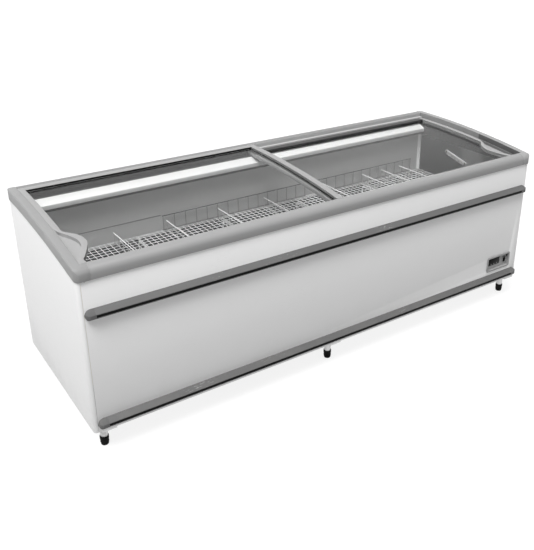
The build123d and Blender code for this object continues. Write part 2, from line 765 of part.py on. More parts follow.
def bulkheads():
    """Folded sheet walls that stand on the tray and carry the tank."""
    bottom = LEG_HEIGHT + BASE_THICKNESS
    top = FOAM_BOTTOM - UNDERPLATE_THICKNESS
    y = (-LEG_Y + RAIL_WIDTH / 2 + SEAT, LEG_Y - RAIL_WIDTH / 2 - SEAT)
    walls = []
    for x in BULKHEAD_XS:
        wall = block((x, x + BULKHEAD_FLANGE), y, (bottom, top))
        wall -= block(
            (x + BULKHEAD_THICKNESS, x + BULKHEAD_FLANGE),
            y,
            (bottom + BULKHEAD_THICKNESS, top - BULKHEAD_THICKNESS),
        )
        walls.append(wall)
    return walls


def coil_offset():
    """Distance of the evaporator tube's centre line outside the tank's plan."""
    return LINER_THICKNESS + SEAT + COIL_TUBE_RADIUS


def coil_bend():
    """Centre-line radius of the evaporator tube round the tank's corners."""
    return TANK_CORNER_RADIUS + coil_offset()


def coil_riser_place():
    """Centre (x, y) of the tube that feeds the coil from below."""
    return (COIL_FEED_X, TANK_REAR + coil_offset())


def coil_riser_foot():
    """Height at which the coil's riser ends under the tank."""
    return FOAM_BOTTOM - UNDERPLATE_THICKNESS - COIL_STUB


def evaporator_coil():
    """Copper tube wound round the liner in a rising spiral, fed from below."""
    grown = coil_offset()
    x = TANK_X + grown
    front = TANK_FRONT - grown
    rear = TANK_REAR + grown
    points = [(COIL_FEED_X, rear, coil_riser_foot()), (COIL_FEED_X, rear, COIL_FIRST_Z)]
    for turn in range(COIL_TURNS):
        z = COIL_FIRST_Z + turn * COIL_PITCH
        points += [(-x, rear, z), (-x, front, z), (x, front, z)]
        if turn < COIL_TURNS - 1:
            points += [(x, rear, z), (COIL_STEP_X, rear, z), (COIL_TAIL_X, rear, z + COIL_PITCH)]
    points += [(x, rear, z), (COIL_TAIL_X, rear, z)]
    path = FilletPolyline(*points, radius=coil_bend())
    ring = Plane(origin=path @ 0, z_dir=path % 0) * Circle(COIL_TUBE_RADIUS)
    return sweep(ring, path=path)


def drain_pipe():
    """Flanged pipe from the tank floor down through the tray."""
    wall = DRAIN_BORE + DRAIN_WALL
    flange = disc(DRAIN_CENTRE, DRAIN_FLANGE_RADIUS, TANK_FLOOR, TANK_FLOOR + DRAIN_FLANGE_THICKNESS)
    pipe = disc(DRAIN_CENTRE, wall, LEG_HEIGHT - DRAIN_OUTLET_DROP, TANK_FLOOR)
    bore = disc(DRAIN_CENTRE, DRAIN_BORE, 0, TANK_FLOOR + DRAIN_FLANGE_THICKNESS)
    return flange + pipe - bore


def drain_plug():
    """Rubber plug that stands in the drain and lifts out."""
    seat = TANK_FLOOR + DRAIN_FLANGE_THICKNESS
    stem = disc(DRAIN_CENTRE, DRAIN_BORE - DRAIN_PLUG_CLEARANCE, seat - DRAIN_PLUG_LENGTH, seat)
    head = disc(DRAIN_CENTRE, DRAIN_BORE + DRAIN_WALL, seat, seat + DRAIN_PLUG_HEAD)
    return stem + head


# ---- lids --------------------------------------------------------------------------------
def grip_curve(points):
    """Smooth curve of the grip from its rear end round to its front end."""
    return Spline(*points, tangents=((0, -1), (-1, -1)))


def grip_lens(inset=0.0):
    """Plan of the bulge that carries the grip, measured from the lid's end."""
    edge = LID_END_WIDTH - inset
    curve = grip_curve(
        [
            (edge, GRIP_REAR_Y),
            (GRIP_SHOULDER[0] - inset, GRIP_SHOULDER[1]),
            (GRIP_REACH - inset, GRIP_PEAK_Y),
            (GRIP_FLANK[0] - inset, GRIP_FLANK[1]),
            (edge, GRIP_FRONT_Y),
        ]
    )
    back = edge - GLASS_BITE
    return face(curve, Polyline(curve @ 1, (back, GRIP_FRONT_Y), (back, GRIP_REAR_Y), curve @ 0))


def scoop_plan():
    """Plan of the finger pocket between the lid's end and the raised lip."""
    curve = grip_curve(
        [
            (SCOOP_WALL, SCOOP_REAR_Y),
            SCOOP_SHOULDER,
            (SCOOP_REACH, GRIP_PEAK_Y),
            SCOOP_FLANK,
            (SCOOP_WALL, SCOOP_FRONT_Y),
        ]
    )
    return face(curve, Line(curve @ 1, curve @ 0))


def lid_pieces(length, front, rear, drop):
    """Pieces of a lid whose grip end starts at x = 0 and runs towards +X."""
    depths = (drop, drop + LID_HEIGHT)
    glass = (drop + GLASS_DEPTH, drop + GLASS_DEPTH + GLASS_THICKNESS)
    groove = (glass[0] - SEAT, glass[1] + SEAT)
    tall = (HEIGHT - DEPTH, HEIGHT + 1)
    lens = along_z(grip_lens(), *tall)
    inner_lens = along_z(grip_lens(GLASS_BITE), *tall)
    bar_x = (LID_END_WIDTH, length - LID_PLAIN_END_WIDTH)

    grip = arc_band((0, LID_END_WIDTH), (front, rear), depths)
    grip += arc_band((0, GRIP_REACH + 1), (front, rear), depths) & lens
    slot_x = (LID_END_WIDTH - GLASS_BITE, GRIP_REACH + 1)
    grip -= arc_band(slot_x, (front + 1, rear - 1), groove) - inner_lens
    grip -= arc_band((0, GRIP_REACH), (front, rear), (drop - 1, drop + SCOOP_DEPTH)) & along_z(
        scoop_plan(), *tall
    )

    plain_x = (bar_x[1], length)
    plain = arc_band(plain_x, (front, rear), depths)
    plain -= arc_band((plain_x[0], plain_x[0] + GLASS_BITE), (front + 1, rear - 1), groove)

    rail_x = (bar_x[0] + SEAT, bar_x[1] - SEAT)
    low = (drop + LID_FRONT_RAIL_DROP, drop + LID_HEIGHT)
    front_bar = arc_band(rail_x, (front, front + LID_FRONT_RAIL), low)
    front_bar -= lens
    rear_bar = arc_band(rail_x, (rear - LID_REAR_RAIL, rear), depths)
    glass_y = (front + LID_FRONT_RAIL - GLASS_BITE, rear - LID_REAR_RAIL + GLASS_BITE)
    glass_x = (slot_x[0] + SEAT, plain_x[0] + GLASS_BITE - SEAT)
    bed = arc_band(rail_x, glass_y, groove)

    pane = arc_band(glass_x, (glass_y[0] + SEAT, glass_y[1] - SEAT), glass)
    pane -= along_z(grip_lens(GLASS_BITE - SEAT), *tall)

    seal_d = (glass[1] + 2 * SEAT, drop + LID_HEIGHT)
    seal_y = (front + LID_FRONT_RAIL + SEAT, rear - LID_REAR_RAIL - SEAT)
    seal_x = (rail_x[0] + SEAT, rail_x[1])
    seal = arc_band(seal_x, (seal_y[1] - SEAL_THICKNESS, seal_y[1]), seal_d)
    seal += arc_band((seal_x[1] - SEAL_THICKNESS, seal_x[1]), seal_y, seal_d)

    glide_d = (drop + LID_HEIGHT, drop + LID_HEIGHT + GLIDE_HEIGHT)
    glides = [
        arc_band(span(x, GLIDE_LENGTH), y, glide_d)
        for x in (bar_x[0] + GLIDE_INSET, bar_x[1] - GLIDE_INSET)
        for y in ((front + 1, front + 1 + GLIDE_WIDTH), (rear - 1 - GLIDE_WIDTH, rear - 1))
    ]
    return {
        "grip_end": grip,
        "frame": group([front_bar - bed, rear_bar - bed, plain]),
        "glass": pane,
        "seal_and_glides": group([seal, *glides]),
    }


def left_lid():
    """Upper lid, which slides to the right over the other one."""
    front = RIM_INNER_FRONT + LID_SIDE_GAP
    rear = RIM_INNER_REAR - LID_SIDE_GAP
    place = Pos(LID_END_GAP - RIM_INNER_X, 0, 0)
    pieces = lid_pieces(UPPER_LID_LENGTH, front, rear, 0.0)
    return {f"left_lid_{name}": place * piece for name, piece in pieces.items()}


def right_lid():
    """Lower lid, which slides to the left under the other one."""
    front = FRONT_STEP_Y + LID_SIDE_GAP
    rear = REAR_STEP_Y - LID_SIDE_GAP
    place = Pos(RIM_INNER_X - LID_END_GAP, 0, 0)
    length = 2 * (RIM_INNER_X - LID_END_GAP) - UPPER_LID_LENGTH + LID_OVERLAP
    pieces = lid_pieces(length, front, rear, LID_DROP)
    return {f"right_lid_{name}": place * mirrored(piece) for name, piece in pieces.items()}


# ---- bumpers -----------------------------------------------------------------------------
def bumper_section(top):
    """YZ section of a bumper without its groove, sloping out from the panel to its nose."""
    back = FRONT_FACE
    front = FRONT_FACE - BUMPER_DEPTH
    brow = top - BUMPER_SLOPE
    bottom = top - BUMPER_HEIGHT
    section = outline([(back, top), (front, brow), (front, bottom), (back, bottom)])
    nose = section.vertices().sort_by_distance((front, brow, 0))[0]
    section = fillet(nose, BUMPER_ROUND)
    lip = section.vertices().sort_by_distance((front, bottom, 0))[0]
    return fillet(lip, BUMPER_LIP_ROUND)


def bumper_rails():
    """Two long grey bumper profiles, each with a groove for its insert."""
    reach = BUMPER_END_X - BUMPER_CAP_LENGTH
    front = FRONT_FACE - BUMPER_DEPTH
    rails = []
    for top in BUMPER_TOPS:
        rail = along_x(bumper_section(top), -reach, reach)
        groove_z = (top - INSERT_TOP - INSERT_HEIGHT, top - INSERT_TOP)
        rails.append(rail - block((-reach, reach), (front, front + INSERT_GROOVE), groove_z))
    return group(rails)


def bumper_inserts():
    """Black strips pressed into the bumper grooves."""
    reach = BUMPER_END_X - BUMPER_CAP_LENGTH
    front = FRONT_FACE - BUMPER_DEPTH
    y = (front + INSERT_RECESS, front + INSERT_GROOVE - SEAT)
    strips = []
    for top in BUMPER_TOPS:
        z = (top - INSERT_TOP - INSERT_HEIGHT + SEAT, top - INSERT_TOP - SEAT)
        strips.append(block((-reach, reach), y, z))
    return group(strips)


def bumper_end_caps():
    """Rounded caps that close the ends of the bumpers."""
    start = BUMPER_END_X - BUMPER_CAP_LENGTH + SEAT
    y = (FRONT_FACE - BUMPER_DEPTH, FRONT_FACE + BUMPER_DEPTH)
    end = BUMPER_END_X
    caps = []
    for top in BUMPER_TOPS:
        cap = along_x(bumper_section(top), start, end)
        bottom = top - BUMPER_HEIGHT
        view = outline([(-end, bottom), (end, bottom), (end, top), (-end, top)])
        view = fillet(view.vertices().sort_by(Axis.Y)[:2], BUMPER_CAP_LOW_ROUND)
        view = fillet(view.vertices().sort_by(Axis.Y)[-2:], BUMPER_CAP_TOP_ROUND)
        cap &= along_y(view, *y)
        cap &= plan(BUMPER_END_X, y, BUMPER_CAP_ROUND, (top - BUMPER_HEIGHT, top))
        caps += [cap, mirrored(cap)]
    return group(caps)


# ---- control panel -----------------------------------------------------------------------
def panel_spans(centre, size, margin=0.0):
    """The x and z spans of a feature on the control panel."""
    return span(centre[0], size[0], margin), span(centre[1], size[1], margin)


def panel_floor():
    """The y of the floor of the control panel's tray."""
    return FRONT_FACE - PANEL_PROUD + PANEL_RECESS


def control_bezel():
    """Grey tray, let into the front panel, that holds the controller and the lamp switch."""
    y = (FRONT_FACE - PANEL_PROUD, FRONT_FACE - SEAT)
    back = panel_floor() + PANEL_WALL
    shape = Pos(*PANEL_CENTRE) * RectangleRounded(*PANEL_SIZE, PANEL_ROUND)
    bezel = along_y(shape, *y)
    collar_x, collar_z = panel_spans(PANEL_CENTRE, PANEL_SIZE, -PANEL_COLLAR_INSET)
    bezel += block(collar_x, (y[1], back), collar_z)
    margin = -PANEL_COLLAR_INSET - PANEL_WALL
    tray_x, tray_z = panel_spans(PANEL_CENTRE, PANEL_SIZE, margin)
    bezel -= block(tray_x, (y[0], panel_floor()), tray_z)
    for centre, size in ((CONTROLLER_CENTRE, CONTROLLER_SIZE), (SWITCH_CENTRE, SWITCH_SIZE)):
        hole_x, hole_z = panel_spans(centre, size, SEAT)
        bezel -= block(hole_x, (y[0], back), hole_z)
    return bezel


def button_places():
    """The (x, z) centres of the controller's buttons, from left to right."""
    return [
        (CONTROLLER_CENTRE[0] + i * BUTTON_PITCH, CONTROLLER_CENTRE[1] - BUTTON_DROP)
        for i in (-1, 0, 1)
    ]


def temperature_controller():
    """Black controller box with holes for its buttons."""
    front = panel_floor() - CONTROLLER_PROUD
    x, z = panel_spans(CONTROLLER_CENTRE, CONTROLLER_SIZE)
    box = block(x, (front, front + CONTROLLER_LENGTH), z)
    depth = BUTTON_LENGTH + BUTTON_TRAVEL + SEAT
    for place in button_places():
        box -= pin_y(place, BUTTON_RADIUS + BUTTON_CLEARANCE, front, front + depth)
    return box


def button(place):
    """One push button, at rest."""
    front = panel_floor() - CONTROLLER_PROUD
    return pin_y(place, BUTTON_RADIUS, front - BUTTON_PROUD, front + BUTTON_LENGTH)


def rocker_axis():
    """Centre (y, z) of the rocker's axle."""
    return (panel_floor() - SWITCH_PROUD + ROCKER_AXLE_DEPTH, SWITCH_CENTRE[1])


def switch_housing():
    """Box of the lamp switch, with a hole for the rocker's axle."""
    front = panel_floor() - SWITCH_PROUD
    x, z = panel_spans(SWITCH_CENTRE, SWITCH_SIZE)
    inner_x, inner_z = panel_spans(SWITCH_CENTRE, SWITCH_SIZE, -SWITCH_WALL)
    box = block(x, (front, front + SWITCH_DEPTH), z)
    box -= block(inner_x, (front, front + SWITCH_DEPTH - SWITCH_WALL), inner_z)
    axle = ROCKER_AXLE_RADIUS + ROCKER_AXLE_CLEARANCE
    y, z_axis = rocker_axis()
    return box - rod((x[0], y, z_axis), (x[1], y, z_axis), 2 * axle)


def lamp_switch_rocker():
    """Rocker of the lamp switch, resting in its on position."""
    y, z = rocker_axis()
    inner_x, inner_z = panel_spans(SWITCH_CENTRE, SWITCH_SIZE, -SWITCH_WALL - ROCKER_GAP)
    front = y - ROCKER_AXLE_DEPTH
    points = [
        (front, inner_z[0]),
        (front + ROCKER_DIP, z),
        (front, inner_z[1]),
        (y, inner_z[1] - ROCKER_AXLE_DEPTH),
        (y + ROCKER_BACK, z),
        (y, inner_z[0] + ROCKER_AXLE_DEPTH),
    ]
    body = along_x(outline(points), *inner_x)
    reach = span(SWITCH_CENTRE[0], SWITCH_SIZE[0], -SEAT)
    body += rod((reach[0], y, z), (reach[1], y, z), 2 * ROCKER_AXLE_RADIUS)
    return Pos(0, y, z) * Rot(ROCKER_TILT, 0, 0) * Pos(0, -y, -z) * body


# ---- lamp --------------------------------------------------------------------------------
def lamp_points(inset):
    """Corners of the canopy's YZ section, moved in by a wall thickness."""
    back = TANK_REAR - SEAT - inset
    slope = (LAMP_BACK_TOP - LAMP_FRONT_TOP) / (TANK_REAR - LAMP_FRONT_Y)
    drop = inset * sqrt(1 + slope**2)
    front = LAMP_FRONT_Y + inset
    return [
        (front, LAMP_BOTTOM),
        (front, LAMP_FRONT_TOP + inset * slope - drop),
        (back, LAMP_BACK_TOP - inset * slope - drop),
        (back, LAMP_BOTTOM),
    ]


def lamp_housing():
    """Hollow canopy profile on the rear wall, open underneath for its diffuser."""
    reach = LAMP_X - LAMP_CAP
    return along_x(outline(lamp_points(0)), -reach, reach) - along_x(
        outline(lamp_points(LAMP_WALL)), -reach, reach
    )


def lamp_diffuser():
    """Opal strip that closes the canopy's underside."""
    reach = LAMP_X - LAMP_CAP
    y = (LAMP_FRONT_Y + LAMP_WALL + SEAT, TANK_REAR - 2 * SEAT - LAMP_WALL)
    return block((-reach, reach), y, (LAMP_BOTTOM, LAMP_BOTTOM + LAMP_DIFFUSER))


def led_strip():
    """Strip of light-emitting diodes on the canopy's rear wall."""
    reach = LAMP_X - 2 * LAMP_CAP
    back = TANK_REAR - 2 * SEAT - LAMP_WALL
    middle = (LAMP_BOTTOM + LAMP_FRONT_TOP) / 2
    return block((-reach, reach), (back - LED_THICKNESS, back), span(middle, LED_WIDTH))


def lamp_screw_place():
    """Point (x, y, z) on top of the right-hand cap where its screw sits, and the slope."""
    slope = (LAMP_BACK_TOP - LAMP_FRONT_TOP) / (TANK_REAR - LAMP_FRONT_Y)
    y = TANK_REAR - LAMP_SCREW_INSET
    z = LAMP_BACK_TOP - (LAMP_SCREW_INSET - SEAT) * slope
    return (LAMP_X - LAMP_CAP / 2, y, z), slope


def lamp_end_caps():
    """Moulded caps at both ends of the canopy."""
    cap = along_x(outline(lamp_points(0)), LAMP_X - LAMP_CAP + SEAT, LAMP_X)
    (x, y, z), slope = lamp_screw_place()
    normal = Vector(0, -slope, 1).normalized()
    seat = Vector(x, y, z) - normal * LAMP_CAP / 2
    cap -= rod(seat, seat + normal * LAMP_CAP, LAMP_SCREW_RADIUS + 2 * STUD_CLEARANCE)
    return group([cap, mirrored(cap)])


def lamp_screws():
    """Screw in the top of each lamp cap."""
    (x, y, z), slope = lamp_screw_place()
    normal = Vector(0, -slope, 1).normalized()
    top = Vector(x, y, z)
    tip = top - normal * (LAMP_CAP / 2 - 1)
    screw = rod(tip, top, LAMP_SCREW_RADIUS)
    screw += rod(top, top + normal * LAMP_SCREW_HEAD, 2 * LAMP_SCREW_RADIUS)
    return [screw, mirrored(screw)]


# ---- wire work ---------------------------------------------------------------------------
def deck_edges():
    """The x positions where deck panels meet, from wall to wall."""
    reach = TANK_X - DECK_WALL_GAP
    return [-reach + 2 * reach * i / DECK_PANELS for i in range(DECK_PANELS + 1)]


def deck_wire_xs():
    """The x positions of the deck's upper wires, one list for each panel."""
    inset = DECK_PANEL_GAP + DECK_BEARER
    edges = deck_edges()
    return [
        steps(left + inset, right - inset, DECK_WIRE_PITCH) for left, right in zip(edges, edges[1:])
    ]


def bearer_top():
    """Height of the top of the deck's lower bars."""
    return DECK_TOP - DECK_WIRE - SEAT


def deck_grids():
    """Wire panels that carry the goods: rows of wires across six bearers each."""
    z_wire = DECK_TOP - DECK_WIRE / 2
    z_bearer = bearer_top() - DECK_BEARER / 2
    y = (TANK_FRONT + DECK_WALL_GAP, TANK_REAR - DECK_WALL_GAP)
    run = y[1] - y[0] - 2 * DECK_BEARER
    bearer_ys = [y[0] + DECK_BEARER + run * i / (DECK_BEARERS - 1) for i in range(DECK_BEARERS)]
    bars = []
    for wire_xs in deck_wire_xs():
        low, high = wire_xs[0] - DECK_BEARER, wire_xs[-1] + DECK_BEARER
        bars += [rod((low, by, z_bearer), (high, by, z_bearer), DECK_BEARER) for by in bearer_ys]
        bars += [rod((x, y[0], z_wire), (x, y[1], z_wire), DECK_WIRE) for x in wire_xs]
    return group(bars)


def deck_trestles():
    """Bent wire stands that hold the deck off the tank floor."""
    top = bearer_top() - DECK_BEARER - SEAT - TRESTLE_WIRE / 2
    foot = TANK_FLOOR + SEAT
    y = (TANK_FRONT + TRESTLE_INSET, TANK_REAR - TRESTLE_INSET)
    edges = deck_edges()
    edges[0] += TRESTLE_INSET
    edges[-1] -= TRESTLE_INSET
    stands = []
    for x in edges:
        path = FilletPolyline(
            (x, y[0], foot), (x, y[0], top), (x, y[1], top), (x, y[1], foot), radius=2 * TRESTLE_WIRE
        )
        start = Plane(origin=path @ 0, z_dir=path % 0) * Circle(TRESTLE_WIRE / 2)
        stands.append(sweep(start, path=path))
    return group(stands)


def wire_frame(corners, uprights, wire, post):
    """Welded frame: a top and a bottom wire joined by thinner uprights."""
    (low_a, low_b), (high_a, high_b) = corners
    bars = [rod(low_a, low_b, wire), rod(high_a, high_b, wire)]
    bars += [rod(foot, head, post) for foot, head in uprights]
    return bars[0].fuse(*bars[1:])


def rear_fences():
    """Low wire fences that stand on the deck along the rear wall."""
    bottom = DECK_TOP + SEAT + FENCE_WIRE / 2
    top = FENCE_TOP - FENCE_WIRE / 2
    fences = []
    for x in ((FENCE_X[0], FENCE_GAP_X[0]), (FENCE_GAP_X[1], FENCE_X[1])):
        wires = (
            ((x[0], FENCE_Y, bottom), (x[1], FENCE_Y, bottom)),
            ((x[0], FENCE_Y, top), (x[1], FENCE_Y, top)),
        )
        places = steps(x[0] + FENCE_WIRE, x[1] - FENCE_WIRE, FENCE_PITCH)
        posts = [((u, FENCE_Y, bottom), (u, FENCE_Y, top)) for u in places]
        fences.append(wire_frame(wires, posts, FENCE_WIRE, FENCE_POST))
    return group(fences)


def divider_seat(x):
    """Where a divider stands: on the deck wire under it, or between two on the bars."""
    wire = min(sum(deck_wire_xs(), []), key=lambda place: abs(place - x))
    if abs(wire - x) < (DECK_WIRE + DIVIDER_WIRE) / 2 + SEAT:
        return wire, DECK_TOP + SEAT
    return x, bearer_top() + SEAT


def wire_dividers():
    """Wire dividers that stand on the deck from front to rear."""
    top = DIVIDER_TOP - DIVIDER_WIRE / 2
    y = (TANK_FRONT + DIVIDER_FRONT_GAP, FENCE_Y - FENCE_WIRE / 2 - DIVIDER_REAR_GAP)
    dividers = []
    for x, seat in map(divider_seat, DIVIDER_XS):
        bottom = seat + DIVIDER_WIRE / 2
        wires = (
            ((x, y[0], bottom), (x, y[1], bottom)),
            ((x, y[0], top), (x, y[1], top)),
        )
        places = steps(y[0] + DIVIDER_WIRE, y[1] - DIVIDER_WIRE, DIVIDER_PITCH)
        posts = [((x, v, bottom), (x, v, top)) for v in places]
        dividers.append(wire_frame(wires, posts, DIVIDER_WIRE, DIVIDER_POST))
    return group(dividers)


def thermometer():
    """Tilted case of the thermometer, with its glass tube let into the face."""
    y, z = THERMOMETER_CENTRE
    place = Pos(TANK_X - SEAT, y, z) * Rot(THERMOMETER_TILT, 0, 0)
    front = -THERMOMETER_THICKNESS
    case = along_x(RectangleRounded(*THERMOMETER_SIZE, THERMOMETER_ROUND), front, 0)
    case -= along_x(Rectangle(*CAPILLARY_SIZE), front, front + CAPILLARY_DEPTH)
    bore = Rectangle(CAPILLARY_SIZE[0] - 2 * SEAT, CAPILLARY_SIZE[1] - 2 * SEAT)
    tube = along_x(bore, front, front + CAPILLARY_DEPTH - SEAT)
    return group([place * case, place * tube])


# ---- refrigeration -----------------------------------------------------------------------
def compressor_floor():
    """Height of the compressor's base plate."""
    return LEG_HEIGHT + BASE_THICKNESS + COMPRESSOR_MOUNT_HEIGHT


def compressor_mount_places():
    """The (x, y) centres of the rubber mounts."""
    x, y = COMPRESSOR_CENTRE
    dx = COMPRESSOR_PLATE[0] / 2 - COMPRESSOR_MOUNT_INSET
    dy = COMPRESSOR_PLATE[1] / 2 - COMPRESSOR_MOUNT_INSET
    return [(x + i * dx, y + j * dy) for i in (-1, 1) for j in (-1, 1)]


def compressor():
    """Hermetic compressor can on its base plate."""
    floor = compressor_floor()
    x, y = COMPRESSOR_CENTRE
    plate = block(
        span(x, COMPRESSOR_PLATE[0]), span(y, COMPRESSOR_PLATE[1]), (floor, floor + COMPRESSOR_PLATE[2])
    )
    can = disc(COMPRESSOR_CENTRE, COMPRESSOR_RADIUS, floor, floor + COMPRESSOR_HEIGHT)
    can = fillet(can.faces().sort_by(Axis.Z)[-1].edges(), COMPRESSOR_DOME)
    return plate + can


def compressor_mounts():
    """Rubber mounts between the compressor and the tray."""
    span_z = (LEG_HEIGHT + BASE_THICKNESS, compressor_floor())
    places = compressor_mount_places()
    return group([disc(place, COMPRESSOR_MOUNT_RADIUS, *span_z) for place in places])


def condenser_rows():
    """The (y, z) centres of the condenser's tubes."""
    y = sum(CONDENSER_Y) / 2
    pitch = (CONDENSER_Z[1] - CONDENSER_Z[0]) / CONDENSER_TUBE_ROWS
    return [(y, CONDENSER_Z[0] + pitch * (i + 0.5)) for i in range(CONDENSER_TUBE_ROWS)]


def condenser_bend():
    """Half the distance between two condenser tubes."""
    return (CONDENSER_Z[1] - CONDENSER_Z[0]) / CONDENSER_TUBE_ROWS / 2


def condenser_coil():
    """Serpentine tube of the condenser."""
    rows = condenser_rows()
    bend = condenser_bend()
    low, high = CONDENSER_X
    points = []
    for i, (y, z) in enumerate(rows):
        ends = [(low - bend, y, z), (high + bend, y, z)]
        points += ends if i % 2 == 0 else ends[::-1]
    points[0] = (low - 2 * bend, *rows[0])
    last_x = low - 2 * bend if CONDENSER_TUBE_ROWS % 2 == 0 else high + 2 * bend
    points[-1] = (last_x, *rows[-1])
    path = FilletPolyline(*points, radius=bend * 0.9)
    start = Plane(origin=path @ 0, z_dir=path % 0) * Circle(CONDENSER_TUBE_RADIUS)
    return sweep(start, path=path)


def condenser_fins():
    """Thin plates on the condenser's tubes."""
    hole = CONDENSER_TUBE_RADIUS + TUBE_FIN_GAP
    plate = block((0, FIN_THICKNESS), CONDENSER_Y, CONDENSER_Z)
    for y, z in condenser_rows():
        plate -= rod((-1, y, z), (1 + FIN_THICKNESS, y, z), 2 * hole)
    return group([Pos(x, 0, 0) * plate for x in steps(*CONDENSER_X, FIN_PITCH)])


def fan_centre():
    """Centre (x, z) of the condenser fan."""
    return (sum(CONDENSER_X) / 2, sum(CONDENSER_Z) / 2)


def shroud_y():
    """The y span of the fan shroud's plate."""
    back = CONDENSER_Y[0] - SHROUD_GAP
    return (back - SHROUD_THICKNESS, back)


def fan_y():
    """The y span of the fan's hub."""
    middle = sum(shroud_y()) / 2
    return span(middle - FAN_BACK_GAP, FAN_HUB_LENGTH)


def fan_shroud():
    """Plate with a round opening that ducts the fan's air through the condenser."""
    foot = LEG_HEIGHT + BASE_THICKNESS
    plate = block(CONDENSER_X, shroud_y(), (foot, CONDENSER_Z[1]))
    return plate - pin_y(fan_centre(), FAN_RADIUS + FAN_TIP_GAP, 0, REAR_Y)


def motor_y():
    """The y span of the fan motor's body."""
    front = fan_y()[0] - MOTOR_GAP
    return (front - MOTOR_LENGTH, front)


def fan_motor():
    """Fan motor with its shaft and the arms that hold it to the shroud."""
    x, z = fan_centre()
    y = motor_y()
    body = pin_y((x, z), MOTOR_RADIUS, *y)
    shaft = pin_y((x, z), FAN_SHAFT_RADIUS, y[1], fan_y()[1] - MOTOR_GAP)
    body += shaft
    arm_y = (y[0], shroud_y()[0])
    reach = FAN_RADIUS + FAN_TIP_GAP + MOTOR_ARM
    for sign in (-1, 1):
        arm_x = sorted((x + sign * (MOTOR_RADIUS - MOTOR_ARM), x + sign * reach))
        tail_x = sorted((x + sign * (reach - MOTOR_ARM), x + sign * reach))
        body += block(arm_x, (y[0], y[0] + MOTOR_ARM), span(z, MOTOR_ARM))
        body += block(tail_x, arm_y, span(z, MOTOR_ARM))
    return body


def condenser_fan():
    """Five-bladed fan that turns on the motor's shaft."""
    x, z = fan_centre()
    y = fan_y()
    centre = Pos(x, sum(y) / 2, z)
    blade_length = FAN_RADIUS - FAN_HUB_RADIUS / 2
    middle = FAN_HUB_RADIUS / 2 + blade_length / 2
    fan = pin_y((x, z), FAN_HUB_RADIUS, *y)
    for i in range(FAN_BLADES):
        turn = Rot(0, 360 * i / FAN_BLADES, 0)
        plate = Box(blade_length, FAN_BLADE_THICKNESS, FAN_BLADE_WIDTH)
        fan += centre * turn * Pos(middle, 0, 0) * Rot(FAN_BLADE_PITCH, 0, 0) * plate
    fan &= pin_y((x, z), FAN_RADIUS, 0, REAR_Y)
    depth = y[1] - MOTOR_GAP / 2
    return fan - pin_y((x, z), FAN_SHAFT_RADIUS + FAN_SHAFT_CLEARANCE, y[0], depth)


def filter_drier():
    """Copper drier cartridge with reduced ends."""
    body = disc(DRIER_CENTRE, DRIER_RADIUS, *DRIER_Z)
    body = chamfer(body.edges(), DRIER_RADIUS - PIPE_RADIUS - 1)
    return body


def pipe(points):
    """Bent copper pipe through the points."""
    path = FilletPolyline(*points, radius=PIPE_BEND)
    start = Plane(origin=path @ 0, z_dir=path % 0) * Circle(PIPE_RADIUS)
    return sweep(start, path=path)


def refrigerant_pipes():
    """Discharge, liquid and suction pipes, with the filter drier in the liquid line."""
    x, y = COMPRESSOR_CENTRE
    floor = compressor_floor()
    rows = condenser_rows()
    condenser_end = CONDENSER_X[0] - 2 * condenser_bend() - SEAT
    can_side = x - COMPRESSOR_RADIUS - SEAT
    low = floor + COMPRESSOR_HEIGHT / 3
    discharge = pipe(
        [
            (can_side, y, low),
            (PIPE_LANE_X, y, low),
            (PIPE_LANE_X, rows[0][0], rows[0][1]),
            (condenser_end, *rows[0]),
        ]
    )
    drier_x, drier_y = DRIER_CENTRE
    liquid = pipe(
        [
            (condenser_end, *rows[-1]),
            (PIPE_LANE_X, *rows[-1]),
            (PIPE_LANE_X, drier_y, rows[-1][1]),
            (drier_x, drier_y, rows[-1][1]),
            (drier_x, drier_y, DRIER_Z[1] + SEAT),
        ]
    )
    riser_x, riser_y = coil_riser_place()
    turn_z = coil_riser_foot() - PIPE_DROP
    suction = pipe(
        [
            (riser_x, riser_y, coil_riser_foot() - SEAT),
            (riser_x, riser_y, turn_z),
            (x, y, turn_z),
            (x, y, floor + COMPRESSOR_HEIGHT + SEAT),
        ]
    )
    return group([discharge, liquid, suction, filter_drier()])


def power_inlet():
    """Strain relief where the power cord enters the rear panel."""
    inner = SHELL_REAR - INLET_REACH
    outer = REAR_FACE + INLET_REACH
    gland = pin_y(INLET_CENTRE, INLET_RADIUS, inner, outer)
    gland += pin_y(INLET_CENTRE, INLET_COLLAR_RADIUS, REAR_FACE, REAR_FACE + INLET_COLLAR)
    return gland - pin_y(INLET_CENTRE, INLET_BORE, inner, outer)


def rear_vent_grille():
    """Slotted cover over the condenser's vent."""
    y = (REAR_FACE, REAR_FACE + VENT_THICKNESS)
    plate = block(VENT_X, y, VENT_Z)
    inner_x = (VENT_X[0] + VENT_BORDER, VENT_X[1] - VENT_BORDER)
    inner_z = (VENT_Z[0] + VENT_BORDER, VENT_Z[1] - VENT_BORDER)
    pitch = (inner_z[1] - inner_z[0]) / VENT_SLOTS
    for i in range(VENT_SLOTS):
        z = inner_z[0] + pitch * (i + 0.5)
        plate -= block(inner_x, y, span(z, VENT_SLOT_HEIGHT))
    for place in vent_screw_places():
        plate -= pin_y(place, VENT_SCREW_RADIUS + STUD_CLEARANCE, *y)
    return plate


def grille_screws():
    """Screws that hold the rear grille."""
    top = REAR_FACE + VENT_THICKNESS
    return [
        pin_y(place, VENT_SCREW_RADIUS, top - VENT_SCREW_LENGTH, top) for place in vent_screw_places()
    ]


